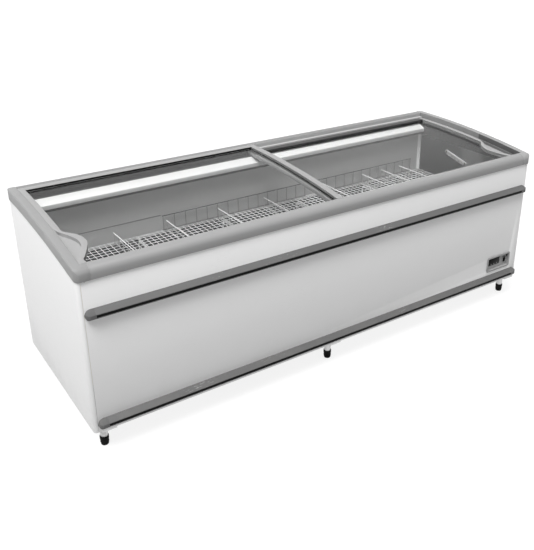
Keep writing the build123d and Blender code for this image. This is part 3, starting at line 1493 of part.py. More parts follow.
# ---- write every node --------------------------------------------------------------------
def nodes():
    """Every node of the freezer by name."""
    parts = {
        "side_panels": group([mirrored(side_panel()), side_panel()]),
        "front_panel": front_panel(),
        "rear_panel": rear_panel(),
        "base_tray": base_tray(),
        "underframe": group([*base_rails(), *bulkheads(), tank_underplate()]),
        "leg_sockets": leg_sockets(),
        "front_rim": front_rim(),
        "rear_rim": rear_rim(),
        "side_rims": group([mirrored(side_rim()), side_rim()]),
        "inner_liner": inner_liner(),
        "insulation_foam": insulation_foam(),
        "throat_strips": throat_strips(),
        "lid_tracks": lid_tracks(),
        "evaporator_coil": evaporator_coil(),
        "drain_pipe": drain_pipe(),
        "drain_plug": drain_plug(),
        "bumper_rails": bumper_rails(),
        "bumper_inserts": bumper_inserts(),
        "bumper_end_caps": bumper_end_caps(),
        "control_bezel": control_bezel(),
        "temperature_controller": temperature_controller(),
        "switch_housing": switch_housing(),
        "lamp_switch_rocker": lamp_switch_rocker(),
        "lamp_housing": lamp_housing(),
        "lamp_diffuser": lamp_diffuser(),
        "led_strip": led_strip(),
        "lamp_end_caps": lamp_end_caps(),
        "screws": group([*lamp_screws(), *grille_screws()]),
        "deck_grids": deck_grids(),
        "deck_trestles": deck_trestles(),
        "rear_fences": rear_fences(),
        "wire_dividers": wire_dividers(),
        "thermometer": thermometer(),
        "compressor": compressor(),
        "compressor_mounts": compressor_mounts(),
        "condenser_coil": condenser_coil(),
        "condenser_fins": condenser_fins(),
        "fan_shroud": fan_shroud(),
        "fan_motor": fan_motor(),
        "condenser_fan": condenser_fan(),
        "refrigerant_pipes": refrigerant_pipes(),
        "power_inlet": power_inlet(),
        "rear_vent_grille": rear_vent_grille(),
    }
    parts.update(left_lid())
    parts.update(right_lid())
    for name, place in zip(("button_down", "button_set", "button_up"), button_places()):
        parts[name] = button(place)
    for number, place in enumerate(leg_places(), start=1):
        parts[f"levelling_foot_{number}"] = levelling_foot(place)
    return parts


if __name__ == "__main__":
    os.makedirs("parts", exist_ok=True)
    for name, shape in nodes().items():
        export_step(shape, f"parts/{name}.step")
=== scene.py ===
"""Chest freezer for a shop floor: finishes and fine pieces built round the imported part.

Metres, in the part's own frame: X along the length, -Y the customer's side, Z up.
"""
import json
import math

import bpy
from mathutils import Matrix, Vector

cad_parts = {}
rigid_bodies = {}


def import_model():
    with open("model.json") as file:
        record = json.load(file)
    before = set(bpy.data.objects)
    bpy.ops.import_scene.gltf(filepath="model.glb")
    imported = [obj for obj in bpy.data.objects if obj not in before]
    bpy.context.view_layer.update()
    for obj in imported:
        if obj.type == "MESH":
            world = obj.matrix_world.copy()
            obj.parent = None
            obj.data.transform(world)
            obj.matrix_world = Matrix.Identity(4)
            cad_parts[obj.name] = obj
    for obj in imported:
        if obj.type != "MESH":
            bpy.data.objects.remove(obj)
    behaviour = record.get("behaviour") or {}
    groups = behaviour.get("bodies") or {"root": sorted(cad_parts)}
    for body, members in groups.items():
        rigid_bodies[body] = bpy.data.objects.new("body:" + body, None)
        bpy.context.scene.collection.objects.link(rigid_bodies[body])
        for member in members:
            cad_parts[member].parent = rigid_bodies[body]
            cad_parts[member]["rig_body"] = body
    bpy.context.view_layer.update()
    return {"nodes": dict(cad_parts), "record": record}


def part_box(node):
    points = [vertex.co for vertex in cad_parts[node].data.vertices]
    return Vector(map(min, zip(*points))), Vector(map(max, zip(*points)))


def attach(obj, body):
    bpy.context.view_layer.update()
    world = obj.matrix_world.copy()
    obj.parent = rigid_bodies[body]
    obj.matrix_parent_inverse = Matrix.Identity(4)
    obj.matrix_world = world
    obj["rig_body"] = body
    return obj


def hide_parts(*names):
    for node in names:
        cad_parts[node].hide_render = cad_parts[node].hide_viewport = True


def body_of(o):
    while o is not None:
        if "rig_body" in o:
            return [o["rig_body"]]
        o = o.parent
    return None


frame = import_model()
NODES = frame["nodes"]

# ---- camera, light and floor ----------------------------------------------------------
CAMERA_PLACE = (-1.9290, -2.7936, 1.9910)
CAMERA_TURN = 34.387
CAMERA_DIP = 23.485
CAMERA_LENS = 49.22
CAMERA_SHIFT = (-0.0445, -0.0769)
SENSOR = 36.0

AMBIENT = 0.22
SIDE_SUN = ((-0.41, -0.18, 0.88), 2.75, 30)
TOP_SUN = ((-0.10, -0.27, 0.95), 1.5, 50)


def set_camera():
    """Camera that stands to the left of the front, looking down on the lids."""
    data = bpy.data.cameras.new("camera")
    data.sensor_fit = "HORIZONTAL"
    data.sensor_width = SENSOR
    data.lens = CAMERA_LENS
    data.shift_x, data.shift_y = CAMERA_SHIFT
    data.clip_end = 60
    camera = bpy.data.objects.new("camera", data)
    camera.location = CAMERA_PLACE
    camera.rotation_euler = (math.radians(90 - CAMERA_DIP), 0, -math.radians(CAMERA_TURN))
    bpy.context.collection.objects.link(camera)
    bpy.context.scene.camera = camera


def sun(name, towards, strength, angle):
    """Soft distant lamp, given by the direction that it stands in."""
    data = bpy.data.lights.new(name, "SUN")
    data.energy = strength
    data.angle = math.radians(angle)
    lamp = bpy.data.objects.new(name, data)
    lamp.rotation_euler = Vector(towards).to_track_quat("Z", "Y").to_euler()
    bpy.context.collection.objects.link(lamp)


# ---- node helpers ---------------------------------------------------------------------
def add(tree, kind, sockets=None, **settings):
    """New node with its settings made and its sockets filled or linked."""
    made = tree.nodes.new(kind)
    for key, value in settings.items():
        setattr(made, key, value)
    for key, value in (sockets or {}).items():
        if isinstance(value, bpy.types.NodeSocket):
            tree.links.new(value, made.inputs[key])
        else:
            made.inputs[key].default_value = value
    return made


def group(name, inputs, outputs):
    """Empty shader node group with named sockets: returns the tree, its input and output."""
    tree = bpy.data.node_groups.new(name, "ShaderNodeTree")
    for label, kind, value in inputs:
        socket = tree.interface.new_socket(label, in_out="INPUT", socket_type=kind)
        socket.default_value = value
    for label, kind in outputs:
        tree.interface.new_socket(label, in_out="OUTPUT", socket_type=kind)
    return tree, tree.nodes.new("NodeGroupInput"), tree.nodes.new("NodeGroupOutput")


FLOAT, COLOUR = "NodeSocketFloat", "NodeSocketColor"
GREY = (0.5, 0.5, 0.5, 1)


def mapped(tree, scale, seed=0.0):
    """Object coordinates stretched by a scale and moved by a seed."""
    place = add(tree, "ShaderNodeTexCoord").outputs["Object"]
    return add(
        tree,
        "ShaderNodeMapping",
        {"Vector": place, "Scale": scale, "Location": (seed, seed * 0.7, seed * 1.3)},
    ).outputs[0]


def noise(tree, vector, scale, detail=3.0, roughness=0.55):
    """Noise value between 0 and 1."""
    made = add(
        tree,
        "ShaderNodeTexNoise",
        {"Vector": vector, "Scale": scale, "Detail": detail, "Roughness": roughness},
    )
    return made.outputs["Fac"]


def ramp(tree, value, low, high, start=0.0, end=1.0):
    """Smooth step of a value from low to high."""
    made = add(
        tree,
        "ShaderNodeMapRange",
        {"Value": value, "From Min": low, "From Max": high, "To Min": start, "To Max": end},
        interpolation_type="SMOOTHSTEP",
    )
    return made.outputs["Result"]


def maths(tree, operation, first, second, third=None):
    """Result of a maths node."""
    made = tree.nodes.new("ShaderNodeMath")
    made.operation = operation
    for index, value in enumerate((first, second, third)):
        if value is None:
            continue
        if isinstance(value, bpy.types.NodeSocket):
            tree.links.new(value, made.inputs[index])
        else:
            made.inputs[index].default_value = value
    return made.outputs[0]


def blend_colour(tree, factor, first, second, how="MIX"):
    """Colour mixed between two colours."""
    made = tree.nodes.new("ShaderNodeMix")
    made.data_type = "RGBA"
    made.blend_type = how
    for index, value in ((0, factor), (6, first), (7, second)):
        if isinstance(value, bpy.types.NodeSocket):
            tree.links.new(value, made.inputs[index])
        else:
            made.inputs[index].default_value = value
    return made.outputs[2]


# ---- shared effects -------------------------------------------------------------------
def make_fine_grain():
    """Fine moulded or sprayed texture, with a slow drift of tone."""
    tree, ins, outs = group(
        "fine_grain",
        [
            ("Color", COLOUR, GREY),
            ("Roughness", FLOAT, 0.5),
            ("Grain Size", FLOAT, 0.002),
            ("Tone Drift", FLOAT, 0.04),
            ("Gloss Drift", FLOAT, 0.08),
        ],
        [("Color", COLOUR), ("Roughness", FLOAT), ("Height", FLOAT)],
    )
    place = mapped(tree, (1, 1, 1))
    scale = maths(tree, "DIVIDE", 1.0, ins.outputs["Grain Size"])
    grain = noise(tree, place, scale, 2.0, 0.6)
    slow = noise(tree, place, 2.3, 3.0)
    patch = noise(tree, mapped(tree, (1, 1, 1), 4.0), 11.0, 4.0)
    tone = maths(tree, "SUBTRACT", maths(tree, "ADD", slow, patch), 1.0)
    gain = maths(tree, "MULTIPLY_ADD", tone, ins.outputs["Tone Drift"], 1.0)
    shade = add(tree, "ShaderNodeCombineColor", {0: gain, 1: gain, 2: gain}).outputs[0]
    colour = blend_colour(tree, 1.0, ins.outputs["Color"], shade, "MULTIPLY")
    tree.links.new(colour, outs.inputs["Color"])
    gloss = maths(tree, "MULTIPLY_ADD", tone, ins.outputs["Gloss Drift"], ins.outputs["Roughness"])
    tree.links.new(gloss, outs.inputs["Roughness"])
    tree.links.new(grain, outs.inputs["Height"])
    return tree


def make_handling_marks():
    """Faint wiped streaks and short dull scuffs from cloths, trolleys and boxes."""
    tree, ins, outs = group(
        "handling_marks",
        [
            ("Color", COLOUR, GREY),
            ("Roughness", FLOAT, 0.5),
            ("Mark Color", COLOUR, GREY),
            ("Streaks", FLOAT, 0.1),
            ("Scuffs", FLOAT, 0.2),
        ],
        [("Color", COLOUR), ("Roughness", FLOAT)],
    )
    streak = noise(tree, mapped(tree, (1.2, 9, 26), 2.0), 3.0, 4.0)
    streak = ramp(tree, streak, 0.45, 0.75)
    broad = ramp(tree, noise(tree, mapped(tree, (1, 1, 1), 7.0), 3.1, 2.0), 0.52, 0.66)
    thin = ramp(tree, noise(tree, mapped(tree, (14, 40, 90), 1.0), 4.0, 3.0), 0.60, 0.68)
    scuff = maths(tree, "MULTIPLY", maths(tree, "MULTIPLY", broad, thin), ins.outputs["Scuffs"])
    colour = blend_colour(tree, scuff, ins.outputs["Color"], ins.outputs["Mark Color"])
    tree.links.new(colour, outs.inputs["Color"])
    rough = maths(tree, "MULTIPLY_ADD", streak, ins.outputs["Streaks"], ins.outputs["Roughness"])
    rough = maths(tree, "MULTIPLY_ADD", scuff, 0.3, rough)
    tree.links.new(rough, outs.inputs["Roughness"])
    return tree


def make_grime_and_painted_shade():
    """Darkening that thickens from a height down to a base, where it's full: real grime on the
    cabinet, bumpers and feet, and painted shade under the deck in the tank.
    """
    tree, ins, outs = group(
        "grime_and_painted_shade",
        [
            ("Color", COLOUR, GREY),
            ("Roughness", FLOAT, 0.5),
            ("Grime And Shade Color", COLOUR, (0.25, 0.24, 0.22, 1)),
            ("Amount", FLOAT, 0.2),
            ("Height", FLOAT, 0.3),
            ("Base", FLOAT, 0.0),
            ("Patchiness", FLOAT, 1.0),
        ],
        [("Color", COLOUR), ("Roughness", FLOAT)],
    )
    place = add(tree, "ShaderNodeTexCoord").outputs["Object"]
    z = add(tree, "ShaderNodeSeparateXYZ", {0: place}).outputs[2]
    low = ramp(tree, z, ins.outputs["Height"], ins.outputs["Base"])
    splash = ramp(tree, noise(tree, mapped(tree, (1, 1, 0.6), 3.0), 14.0, 5.0), 0.75, 0.35)
    splash = maths(tree, "MULTIPLY", splash, ins.outputs["Patchiness"])
    splash = maths(tree, "SUBTRACT", 1.0, splash)
    # The same darkening paints the shade under the deck on the tank's walls.
    darkening = maths(tree, "MULTIPLY", maths(tree, "MULTIPLY", low, splash), ins.outputs["Amount"])
    colour = blend_colour(tree, darkening, ins.outputs["Color"], ins.outputs["Grime And Shade Color"])
    tree.links.new(colour, outs.inputs["Color"])
    rough = maths(tree, "MULTIPLY_ADD", darkening, 0.35, ins.outputs["Roughness"])
    tree.links.new(rough, outs.inputs["Roughness"])
    return tree


def make_worn_edges():
    """Edges rubbed lighter or darker and smoother, found from the rounded normal."""
    tree, ins, outs = group(
        "worn_edges",
        [
            ("Color", COLOUR, GREY),
            ("Roughness", FLOAT, 0.5),
            ("Edge Color", COLOUR, GREY),
            ("Amount", FLOAT, 0.3),
            ("Radius", FLOAT, 0.003),
        ],
        [("Color", COLOUR), ("Roughness", FLOAT)],
    )
    rounded = add(tree, "ShaderNodeBevel", {"Radius": ins.outputs["Radius"]}, samples=4)
    flat = add(tree, "ShaderNodeNewGeometry").outputs["Normal"]
    dot = tree.nodes.new("ShaderNodeVectorMath")
    dot.operation = "DOT_PRODUCT"
    tree.links.new(rounded.outputs[0], dot.inputs[0])
    tree.links.new(flat, dot.inputs[1])
    edge = ramp(tree, dot.outputs["Value"], 0.99, 0.80)
    patchy = ramp(tree, noise(tree, mapped(tree, (1, 1, 1), 9.0), 45.0, 4.0), 0.35, 0.65, 0.25, 1)
    worn = maths(tree, "MULTIPLY", maths(tree, "MULTIPLY", edge, patchy), ins.outputs["Amount"])
    colour = blend_colour(tree, worn, ins.outputs["Color"], ins.outputs["Edge Color"])
    tree.links.new(colour, outs.inputs["Color"])
    rough = maths(tree, "MULTIPLY_ADD", worn, -0.12, ins.outputs["Roughness"])
    tree.links.new(rough, outs.inputs["Roughness"])
    return tree


EFFECTS = {
    "grain": make_fine_grain(),
    "marks": make_handling_marks(),
    "grime_and_shade": make_grime_and_painted_shade(),
    "edges": make_worn_edges(),
}


def effect(tree, name, colour, roughness, sockets):
    """One of the shared effects, placed after what comes before it."""
    made = tree.nodes.new("ShaderNodeGroup")
    made.node_tree = EFFECTS[name]
    for key, value in {"Color": colour, "Roughness": roughness, **sockets}.items():
        if isinstance(value, bpy.types.NodeSocket):
            tree.links.new(value, made.inputs[key])
        else:
            made.inputs[key].default_value = value
    return made


def tone(value, warm=0.0):
    """Grey of a value, a little warmer or cooler."""
    return (value * (1 + warm), value, value * (1 - warm), 1)


def empty_material(name):
    """Material with nothing in it, and its node tree."""
    material = bpy.data.materials.new(name)
    material.use_nodes = True
    material.node_tree.nodes.clear()
    return material, material.node_tree


def show(tree, shader):
    """The shader is what the material's surface shows."""
    out = tree.nodes.new("ShaderNodeOutputMaterial")
    tree.links.new(shader.outputs[0], out.inputs[0])


def finish(name, colour, roughness, bump=0.02, shader=None, **effects):
    """Material made of a shader and the shared effects; bump is the grain's height in mm."""
    material, tree = empty_material(name)
    body = add(tree, "ShaderNodeBsdfPrincipled", shader or {})
    show(tree, body)
    grain = effect(tree, "grain", colour, roughness, effects.get("grain", {}))
    last = grain
    for key in ("marks", "grime_and_shade", "edges"):
        if key in effects:
            last = effect(tree, key, last.outputs["Color"], last.outputs["Roughness"], effects[key])
    tree.links.new(last.outputs["Color"], body.inputs["Base Color"])
    tree.links.new(last.outputs["Roughness"], body.inputs["Roughness"])
    if bump:
        raised = add(
            tree,
            "ShaderNodeBump",
            {"Height": grain.outputs["Height"], "Strength": 1.0, "Distance": bump / 1000},
        )
        tree.links.new(raised.outputs[0], body.inputs["Normal"])
    return material


# ---- finishes -------------------------------------------------------------------------
DECK_LEVEL = 0.552
# Depth over which the painted shade under the deck fades in.
UNDER_DECK_SHADE_DEPTH = 0.03

FINISHES = {
    "lamp_cover": dict(
        colour=tone(0.80),
        roughness=0.3,
        bump=0,
        shader={"Emission Color": tone(1.0), "Emission Strength": 0.08},
        grain={"Grain Size": 0.002},
    ),
    "white_enamel": dict(
        colour=tone(0.80),
        roughness=0.38,
        bump=0.05,
        shader={"Specular IOR Level": 0.35, "Coat Weight": 0.15, "Coat Roughness": 0.15},
        grain={"Grain Size": 0.0022, "Tone Drift": 0.025, "Gloss Drift": 0.06},
        marks={"Mark Color": tone(0.45), "Streaks": 0.08, "Scuffs": 0.12},
        grime_and_shade={"Amount": 0.10, "Height": 0.32},
        edges={"Edge Color": tone(0.62), "Amount": 0.25, "Radius": 0.0012},
    ),
    "grey_rim": dict(
        colour=tone(0.30),
        roughness=0.45,
        bump=0.04,
        shader={"Specular IOR Level": 0.25},
        grain={"Grain Size": 0.0009, "Tone Drift": 0.05, "Gloss Drift": 0.08},
        marks={"Mark Color": tone(0.5), "Streaks": 0.10, "Scuffs": 0.25},
        edges={"Edge Color": tone(0.48), "Amount": 0.5, "Radius": 0.002},
    ),
    "dark_rim": dict(
        colour=tone(0.24),
        roughness=0.5,
        bump=0.04,
        shader={"Specular IOR Level": 0.2},
        grain={"Grain Size": 0.0009, "Tone Drift": 0.05, "Gloss Drift": 0.08},
        marks={"Mark Color": tone(0.4), "Streaks": 0.10, "Scuffs": 0.2},
        edges={"Edge Color": tone(0.4), "Amount": 0.5, "Radius": 0.002},
    ),
    "lid_frame": dict(
        colour=tone(0.31),
        roughness=0.42,
        bump=0.03,
        shader={"Specular IOR Level": 0.3},
        grain={"Grain Size": 0.0008, "Tone Drift": 0.05, "Gloss Drift": 0.08},
        marks={"Mark Color": tone(0.55), "Streaks": 0.10, "Scuffs": 0.25},
        edges={"Edge Color": tone(0.55), "Amount": 0.5, "Radius": 0.0015},
    ),
    "lid_end": dict(
        colour=tone(0.34),
        roughness=0.46,
        bump=0.04,
        shader={"Specular IOR Level": 0.25},
        grain={"Grain Size": 0.0009, "Tone Drift": 0.05, "Gloss Drift": 0.08},
        marks={"Mark Color": tone(0.5), "Streaks": 0.10, "Scuffs": 0.25},
        edges={"Edge Color": tone(0.55), "Amount": 0.5, "Radius": 0.002},
    ),
    "track_plastic": dict(
        colour=tone(0.07),
        roughness=0.5,
        bump=0.03,
        shader={"Specular IOR Level": 0.2},
        grain={"Grain Size": 0.001, "Tone Drift": 0.06},
        marks={"Mark Color": tone(0.3), "Streaks": 0.15, "Scuffs": 0.4},
    ),
    "seal_grey": dict(
        colour=tone(0.02),
        roughness=0.8,
        bump=0.1,
        shader={"Specular IOR Level": 0.1},
        grain={"Grain Size": 0.0006, "Tone Drift": 0.1},
    ),
    # Front and rear walls of the tank: darker than the sheet's own white, painted shade; below the
    # deck near-black, painted shade under the deck.
    "liner_sheet": dict(
        colour=tone(0.58),
        roughness=0.5,
        bump=0.08,
        shader={"Specular IOR Level": 0.25},
        grain={"Grain Size": 0.0035, "Tone Drift": 0.06, "Gloss Drift": 0.1},
        marks={"Mark Color": tone(0.4), "Streaks": 0.15, "Scuffs": 0.25},
        grime_and_shade={
            "Grime And Shade Color": tone(0.05),
            "Amount": 0.95,
            "Height": DECK_LEVEL,
            "Base": DECK_LEVEL - UNDER_DECK_SHADE_DEPTH,
            "Patchiness": 0.1,
        },
    ),
    "bumper_grey": dict(
        colour=tone(0.125),
        roughness=0.6,
        bump=0.08,
        shader={"Specular IOR Level": 0.15},
        grain={"Grain Size": 0.0012, "Tone Drift": 0.06},
        marks={"Mark Color": tone(0.42), "Streaks": 0.1, "Scuffs": 0.6},
        grime_and_shade={"Amount": 0.25, "Height": 0.3},
        edges={"Edge Color": tone(0.34), "Amount": 0.4, "Radius": 0.002},
    ),
    "black_rubber": dict(
        colour=tone(0.006),
        roughness=0.6,
        bump=0.06,
        shader={"Specular IOR Level": 0.05},
        grain={"Grain Size": 0.001, "Tone Drift": 0.2},
        grime_and_shade={"Grime And Shade Color": tone(0.2), "Amount": 0.12, "Height": 0.12},
    ),
    "black_plastic": dict(
        colour=tone(0.02),
        roughness=0.45,
        bump=0.05,
        shader={"Specular IOR Level": 0.15},
        grain={"Grain Size": 0.0008, "Tone Drift": 0.2},
        edges={"Edge Color": tone(0.08), "Amount": 0.4, "Radius": 0.001},
    ),
    "display_black": dict(
        colour=tone(0.006),
        roughness=0.30,
        bump=0.0,
        shader={"Specular IOR Level": 0.06, "Coat Weight": 0.02, "Coat Roughness": 0.1},
        grain={"Grain Size": 0.01, "Tone Drift": 0.1, "Gloss Drift": 0.1},
    ),
    "panel_grey": dict(
        colour=tone(0.30),
        roughness=0.5,
        bump=0.05,
        shader={"Specular IOR Level": 0.2},
        grain={"Grain Size": 0.0008, "Tone Drift": 0.05},
        marks={"Mark Color": tone(0.5), "Streaks": 0.1, "Scuffs": 0.2},
        edges={"Edge Color": tone(0.48), "Amount": 0.5, "Radius": 0.0012},
    ),
    "button_grey": dict(
        colour=tone(0.18),
        roughness=0.45,
        bump=0.03,
        grain={"Grain Size": 0.0006},
    ),
    "white_wire": dict(
        colour=tone(0.82),
        roughness=0.35,
        bump=0.02,
        shader={"Coat Weight": 0.3, "Coat Roughness": 0.12},
        grain={"Grain Size": 0.002, "Tone Drift": 0.05},
    ),
    "white_plastic": dict(
        colour=tone(0.78),
        roughness=0.4,
        bump=0.03,
        grain={"Grain Size": 0.001, "Tone Drift": 0.03},
    ),
    "lamp_shell": dict(
        colour=tone(0.72),
        roughness=0.35,
        bump=0.02,
        grain={"Grain Size": 0.001, "Tone Drift": 0.02},
    ),
    "zinc": dict(
        colour=tone(0.55),
        roughness=0.38,
        bump=0.03,
        shader={"Metallic": 0.9},
        grain={"Grain Size": 0.002, "Tone Drift": 0.15, "Gloss Drift": 0.15},
    ),
    "galvanised": dict(
        colour=tone(0.50),
        roughness=0.42,
        bump=0.03,
        shader={"Metallic": 0.85},
        grain={"Grain Size": 0.012, "Tone Drift": 0.25, "Gloss Drift": 0.2},
        grime_and_shade={"Amount": 0.3, "Height": 0.4},
    ),
    "black_paint": dict(
        colour=tone(0.02),
        roughness=0.4,
        bump=0.05,
        grain={"Grain Size": 0.002, "Tone Drift": 0.2},
    ),
    "copper": dict(
        colour=(0.72, 0.36, 0.22, 1),
        roughness=0.35,
        bump=0.02,
        shader={"Metallic": 1.0},
        grain={"Grain Size": 0.004, "Tone Drift": 0.3, "Gloss Drift": 0.25},
    ),
    "fin_metal": dict(
        colour=tone(0.65),
        roughness=0.35,
        bump=0.02,
        shader={"Metallic": 1.0},
        grain={"Grain Size": 0.003, "Tone Drift": 0.1},
    ),
    "motor_grey": dict(
        colour=tone(0.35),
        roughness=0.5,
        bump=0.1,
        shader={"Metallic": 0.7},
        grain={"Grain Size": 0.002, "Tone Drift": 0.1},
    ),
    "foam": dict(
        colour=(0.70, 0.62, 0.40, 1),
        roughness=0.85,
        bump=0.3,
        grain={"Grain Size": 0.004, "Tone Drift": 0.1},
    ),
    "led_board": dict(
        colour=tone(0.85),
        roughness=0.4,
        grain={"Grain Size": 0.002},
    ),
    "fence_wire": dict(
        colour=tone(0.30),
        roughness=0.4,
        bump=0.02,
        shader={"Coat Weight": 0.3, "Coat Roughness": 0.12},
        grain={"Grain Size": 0.002, "Tone Drift": 0.1},
    ),
    "divider_wire": dict(
        colour=tone(0.85),
        roughness=0.32,
        bump=0.02,
        shader={"Coat Weight": 0.3, "Coat Roughness": 0.12},
        grain={"Grain Size": 0.002, "Tone Drift": 0.05},
    ),
    # Lower wires of the dividers: a darker copy of the divider wire, painted shade below the lit
    # top wire.
    "divider_wire_painted_shade": dict(
        colour=tone(0.55),
        roughness=0.36,
        bump=0.02,
        shader={"Coat Weight": 0.2, "Coat Roughness": 0.12},
        grain={"Grain Size": 0.002, "Tone Drift": 0.08},
    ),
    "deck_wire": dict(
        colour=tone(0.72),
        roughness=0.4,
        bump=0.02,
        shader={"Specular IOR Level": 0.3},
        grain={"Grain Size": 0.002, "Tone Drift": 0.08},
        marks={"Mark Color": tone(0.3), "Streaks": 0.1, "Scuffs": 0.4},
    ),
    # Floor of the tank painted near-black: painted shade under the deck.
    "tank_floor_painted_shade": dict(
        colour=tone(0.03),
        roughness=0.5,
        bump=0.08,
        shader={"Specular IOR Level": 0.2},
        grain={"Grain Size": 0.0035, "Tone Drift": 0.1},
        marks={"Mark Color": tone(0.08), "Streaks": 0.15, "Scuffs": 0.4},
    ),
    # End walls of the tank: a lighter copy of the liner sheet, painted light; below the deck
    # near-black, painted shade under the deck.
    "tank_end_painted_light": dict(
        colour=tone(0.93),
        roughness=0.5,
        bump=0.08,
        shader={"Specular IOR Level": 0.25},
        grain={"Grain Size": 0.0035, "Tone Drift": 0.04, "Gloss Drift": 0.1},
        marks={"Mark Color": tone(0.6), "Streaks": 0.15, "Scuffs": 0.25},
        grime_and_shade={
            "Grime And Shade Color": tone(0.05),
            "Amount": 0.9,
            "Height": DECK_LEVEL,
            "Base": DECK_LEVEL - UNDER_DECK_SHADE_DEPTH,
            "Patchiness": 0.1,
        },
    ),
    # Near-black: the track seal's colour, and painted shade on the tray strips and under the left
    # lid's rear frame.
    "black_seal_and_painted_shade": dict(
        colour=tone(0.018),
        roughness=0.8,
        bump=0.1,
        shader={"Specular IOR Level": 0.08},
        grain={"Grain Size": 0.0005, "Tone Drift": 0.2},
    ),
    # Rear rail of the right lid: a darker copy of the lid frame, painted shade.
    "lid_rail_painted_shade": dict(
        colour=tone(0.085),
        roughness=0.6,
        bump=0.05,
        shader={"Specular IOR Level": 0.12},
        grain={"Grain Size": 0.0009, "Tone Drift": 0.12},
    ),
    # Lighter copy of the grey rim: painted light on the rear rim's inner wall and on the track's
    # top behind the right lid.
    "lip_painted_light": dict(
        colour=tone(0.52),
        roughness=0.45,
        bump=0.03,
        shader={"Specular IOR Level": 0.25},
        grain={"Grain Size": 0.0009, "Tone Drift": 0.05},
        edges={"Edge Color": tone(0.3), "Amount": 0.6, "Radius": 0.0015},
    ),
    # Dark grey on the faces of the right grip and right rim that turn to the left: painted shade of
    # the grip's hollow.
    "grip_painted_shade": dict(
        colour=tone(0.15),
        roughness=0.7,
        bump=0.15,
        shader={"Specular IOR Level": 0.15},
        grain={"Grain Size": 0.0016, "Tone Drift": 0.15},
    ),
    "load_line": dict(
        colour=tone(0.22),
        roughness=0.5,
        bump=0.02,
        grain={"Grain Size": 0.002, "Tone Drift": 0.15},
    ),
    "scale_plate": dict(
        colour=tone(0.55),
        roughness=0.4,
        bump=0.02,
        grain={"Grain Size": 0.002, "Tone Drift": 0.04},
    ),
    "scale_ink": dict(
        colour=tone(0.06),
        roughness=0.5,
        bump=0,
        grain={"Grain Size": 0.002, "Tone Drift": 0.1},
    ),
    # Top wire of the rear fence painted near-black: a painted shadow line along the back.
    "fence_top_painted_shade": dict(
        colour=tone(0.07),
        roughness=0.4,
        bump=0.02,
        shader={"Specular IOR Level": 0.3},
        grain={"Grain Size": 0.002, "Tone Drift": 0.1},
    ),
    "screw_steel": dict(
        colour=tone(0.16),
        roughness=0.4,
        bump=0.02,
        shader={"Metallic": 0.8},
        grain={"Grain Size": 0.002, "Tone Drift": 0.15, "Gloss Drift": 0.15},
    ),
}


GLASS_TINT = (0.98, 0.982, 0.98, 1)
GLASS_SHADE = (0.95, 0.953, 0.95, 1)
GLASS_SMEAR = 0.06
GLASS_INDEX = 1.12


def glass_material():
    """Clear safety glass that lets the light of the room through to the tank."""
    material, tree = empty_material("lid_glass")
    smear = noise(tree, mapped(tree, (1, 3, 1), 5.0), 4.0, 5.0)
    body = add(
        tree,
        "ShaderNodeBsdfPrincipled",
        {
            "Base Color": GLASS_TINT,
            "Roughness": ramp(tree, smear, 0.35, 0.8, 0.0, GLASS_SMEAR),
            "IOR": GLASS_INDEX,
            "Transmission Weight": 1.0,
        },
    )
    clear = add(tree, "ShaderNodeBsdfTransparent", {"Color": GLASS_SHADE})
    path = tree.nodes.new("ShaderNodeLightPath").outputs
    passing = maths(tree, "MAXIMUM", path["Is Shadow Ray"], path["Is Diffuse Ray"])
    pane = {0: passing, 1: body.outputs[0], 2: clear.outputs[0]}
    show(tree, add(tree, "ShaderNodeMixShader", pane))
    return material


MATERIALS = {name: finish(name, **settings) for name, settings in FINISHES.items()}
MATERIALS["lid_glass"] = glass_material()


# ---- room -----------------------------------------------------------------------------
def looked_at(tree):
    """One where the camera, a mirror or glass looks, and otherwise zero."""
    path = tree.nodes.new("ShaderNodeLightPath").outputs
    seen = maths(tree, "MAXIMUM", path["Is Camera Ray"], path["Is Glossy Ray"])
    return maths(tree, "MAXIMUM", seen, path["Is Transmission Ray"])


def set_world():
    """Plain bright room that shows white and lights the freezer less than that."""
    world = bpy.data.worlds.new("room")
    world.use_nodes = True
    tree = world.node_tree
    tree.nodes.clear()
    strength = maths(tree, "MULTIPLY_ADD", looked_at(tree), 1.0 - AMBIENT, AMBIENT)
    light = add(tree, "ShaderNodeBackground", {"Color": (1, 1, 1, 1), "Strength": strength})
    out = tree.nodes.new("ShaderNodeOutputWorld")
    tree.links.new(light.outputs[0], out.inputs[0])
    bpy.context.scene.world = world


FLOOR_SIZE = 40.0
FLOOR_LEVEL = -0.0005
FLOOR_SHADE = 0.22
FLOOR_GLOW = 0.82
FLOOR_BOUNCE = 0.16
FLOOR_LIFT = 0.42


def floor_shader(tree, shade, glow):
    """Matt surface with a light of its own."""
    matt = add(tree, "ShaderNodeBsdfDiffuse", {"Color": tone(shade)})
    light = add(tree, "ShaderNodeEmission", {"Color": tone(1.0), "Strength": glow})
    return add(tree, "ShaderNodeAddShader", {0: matt.outputs[0], 1: light.outputs[0]}).outputs[0]


def make_floor():
    """Wide pale floor that shows white and still takes the freezer's shadow."""
    bpy.ops.object.select_all(action="DESELECT")
    bpy.ops.mesh.primitive_plane_add(size=FLOOR_SIZE, location=(0, 0, FLOOR_LEVEL))
    floor = bpy.context.object
    floor.name = "floor"
    bpy.ops.object.transform_apply(location=True, rotation=True, scale=True)
    material, tree = empty_material("floor")
    seen = floor_shader(tree, FLOOR_SHADE, FLOOR_GLOW)
    plain = floor_shader(tree, FLOOR_BOUNCE, FLOOR_LIFT)
    show(tree, add(tree, "ShaderNodeMixShader", {0: looked_at(tree), 1: plain, 2: seen}))
    floor.data.materials.append(material)


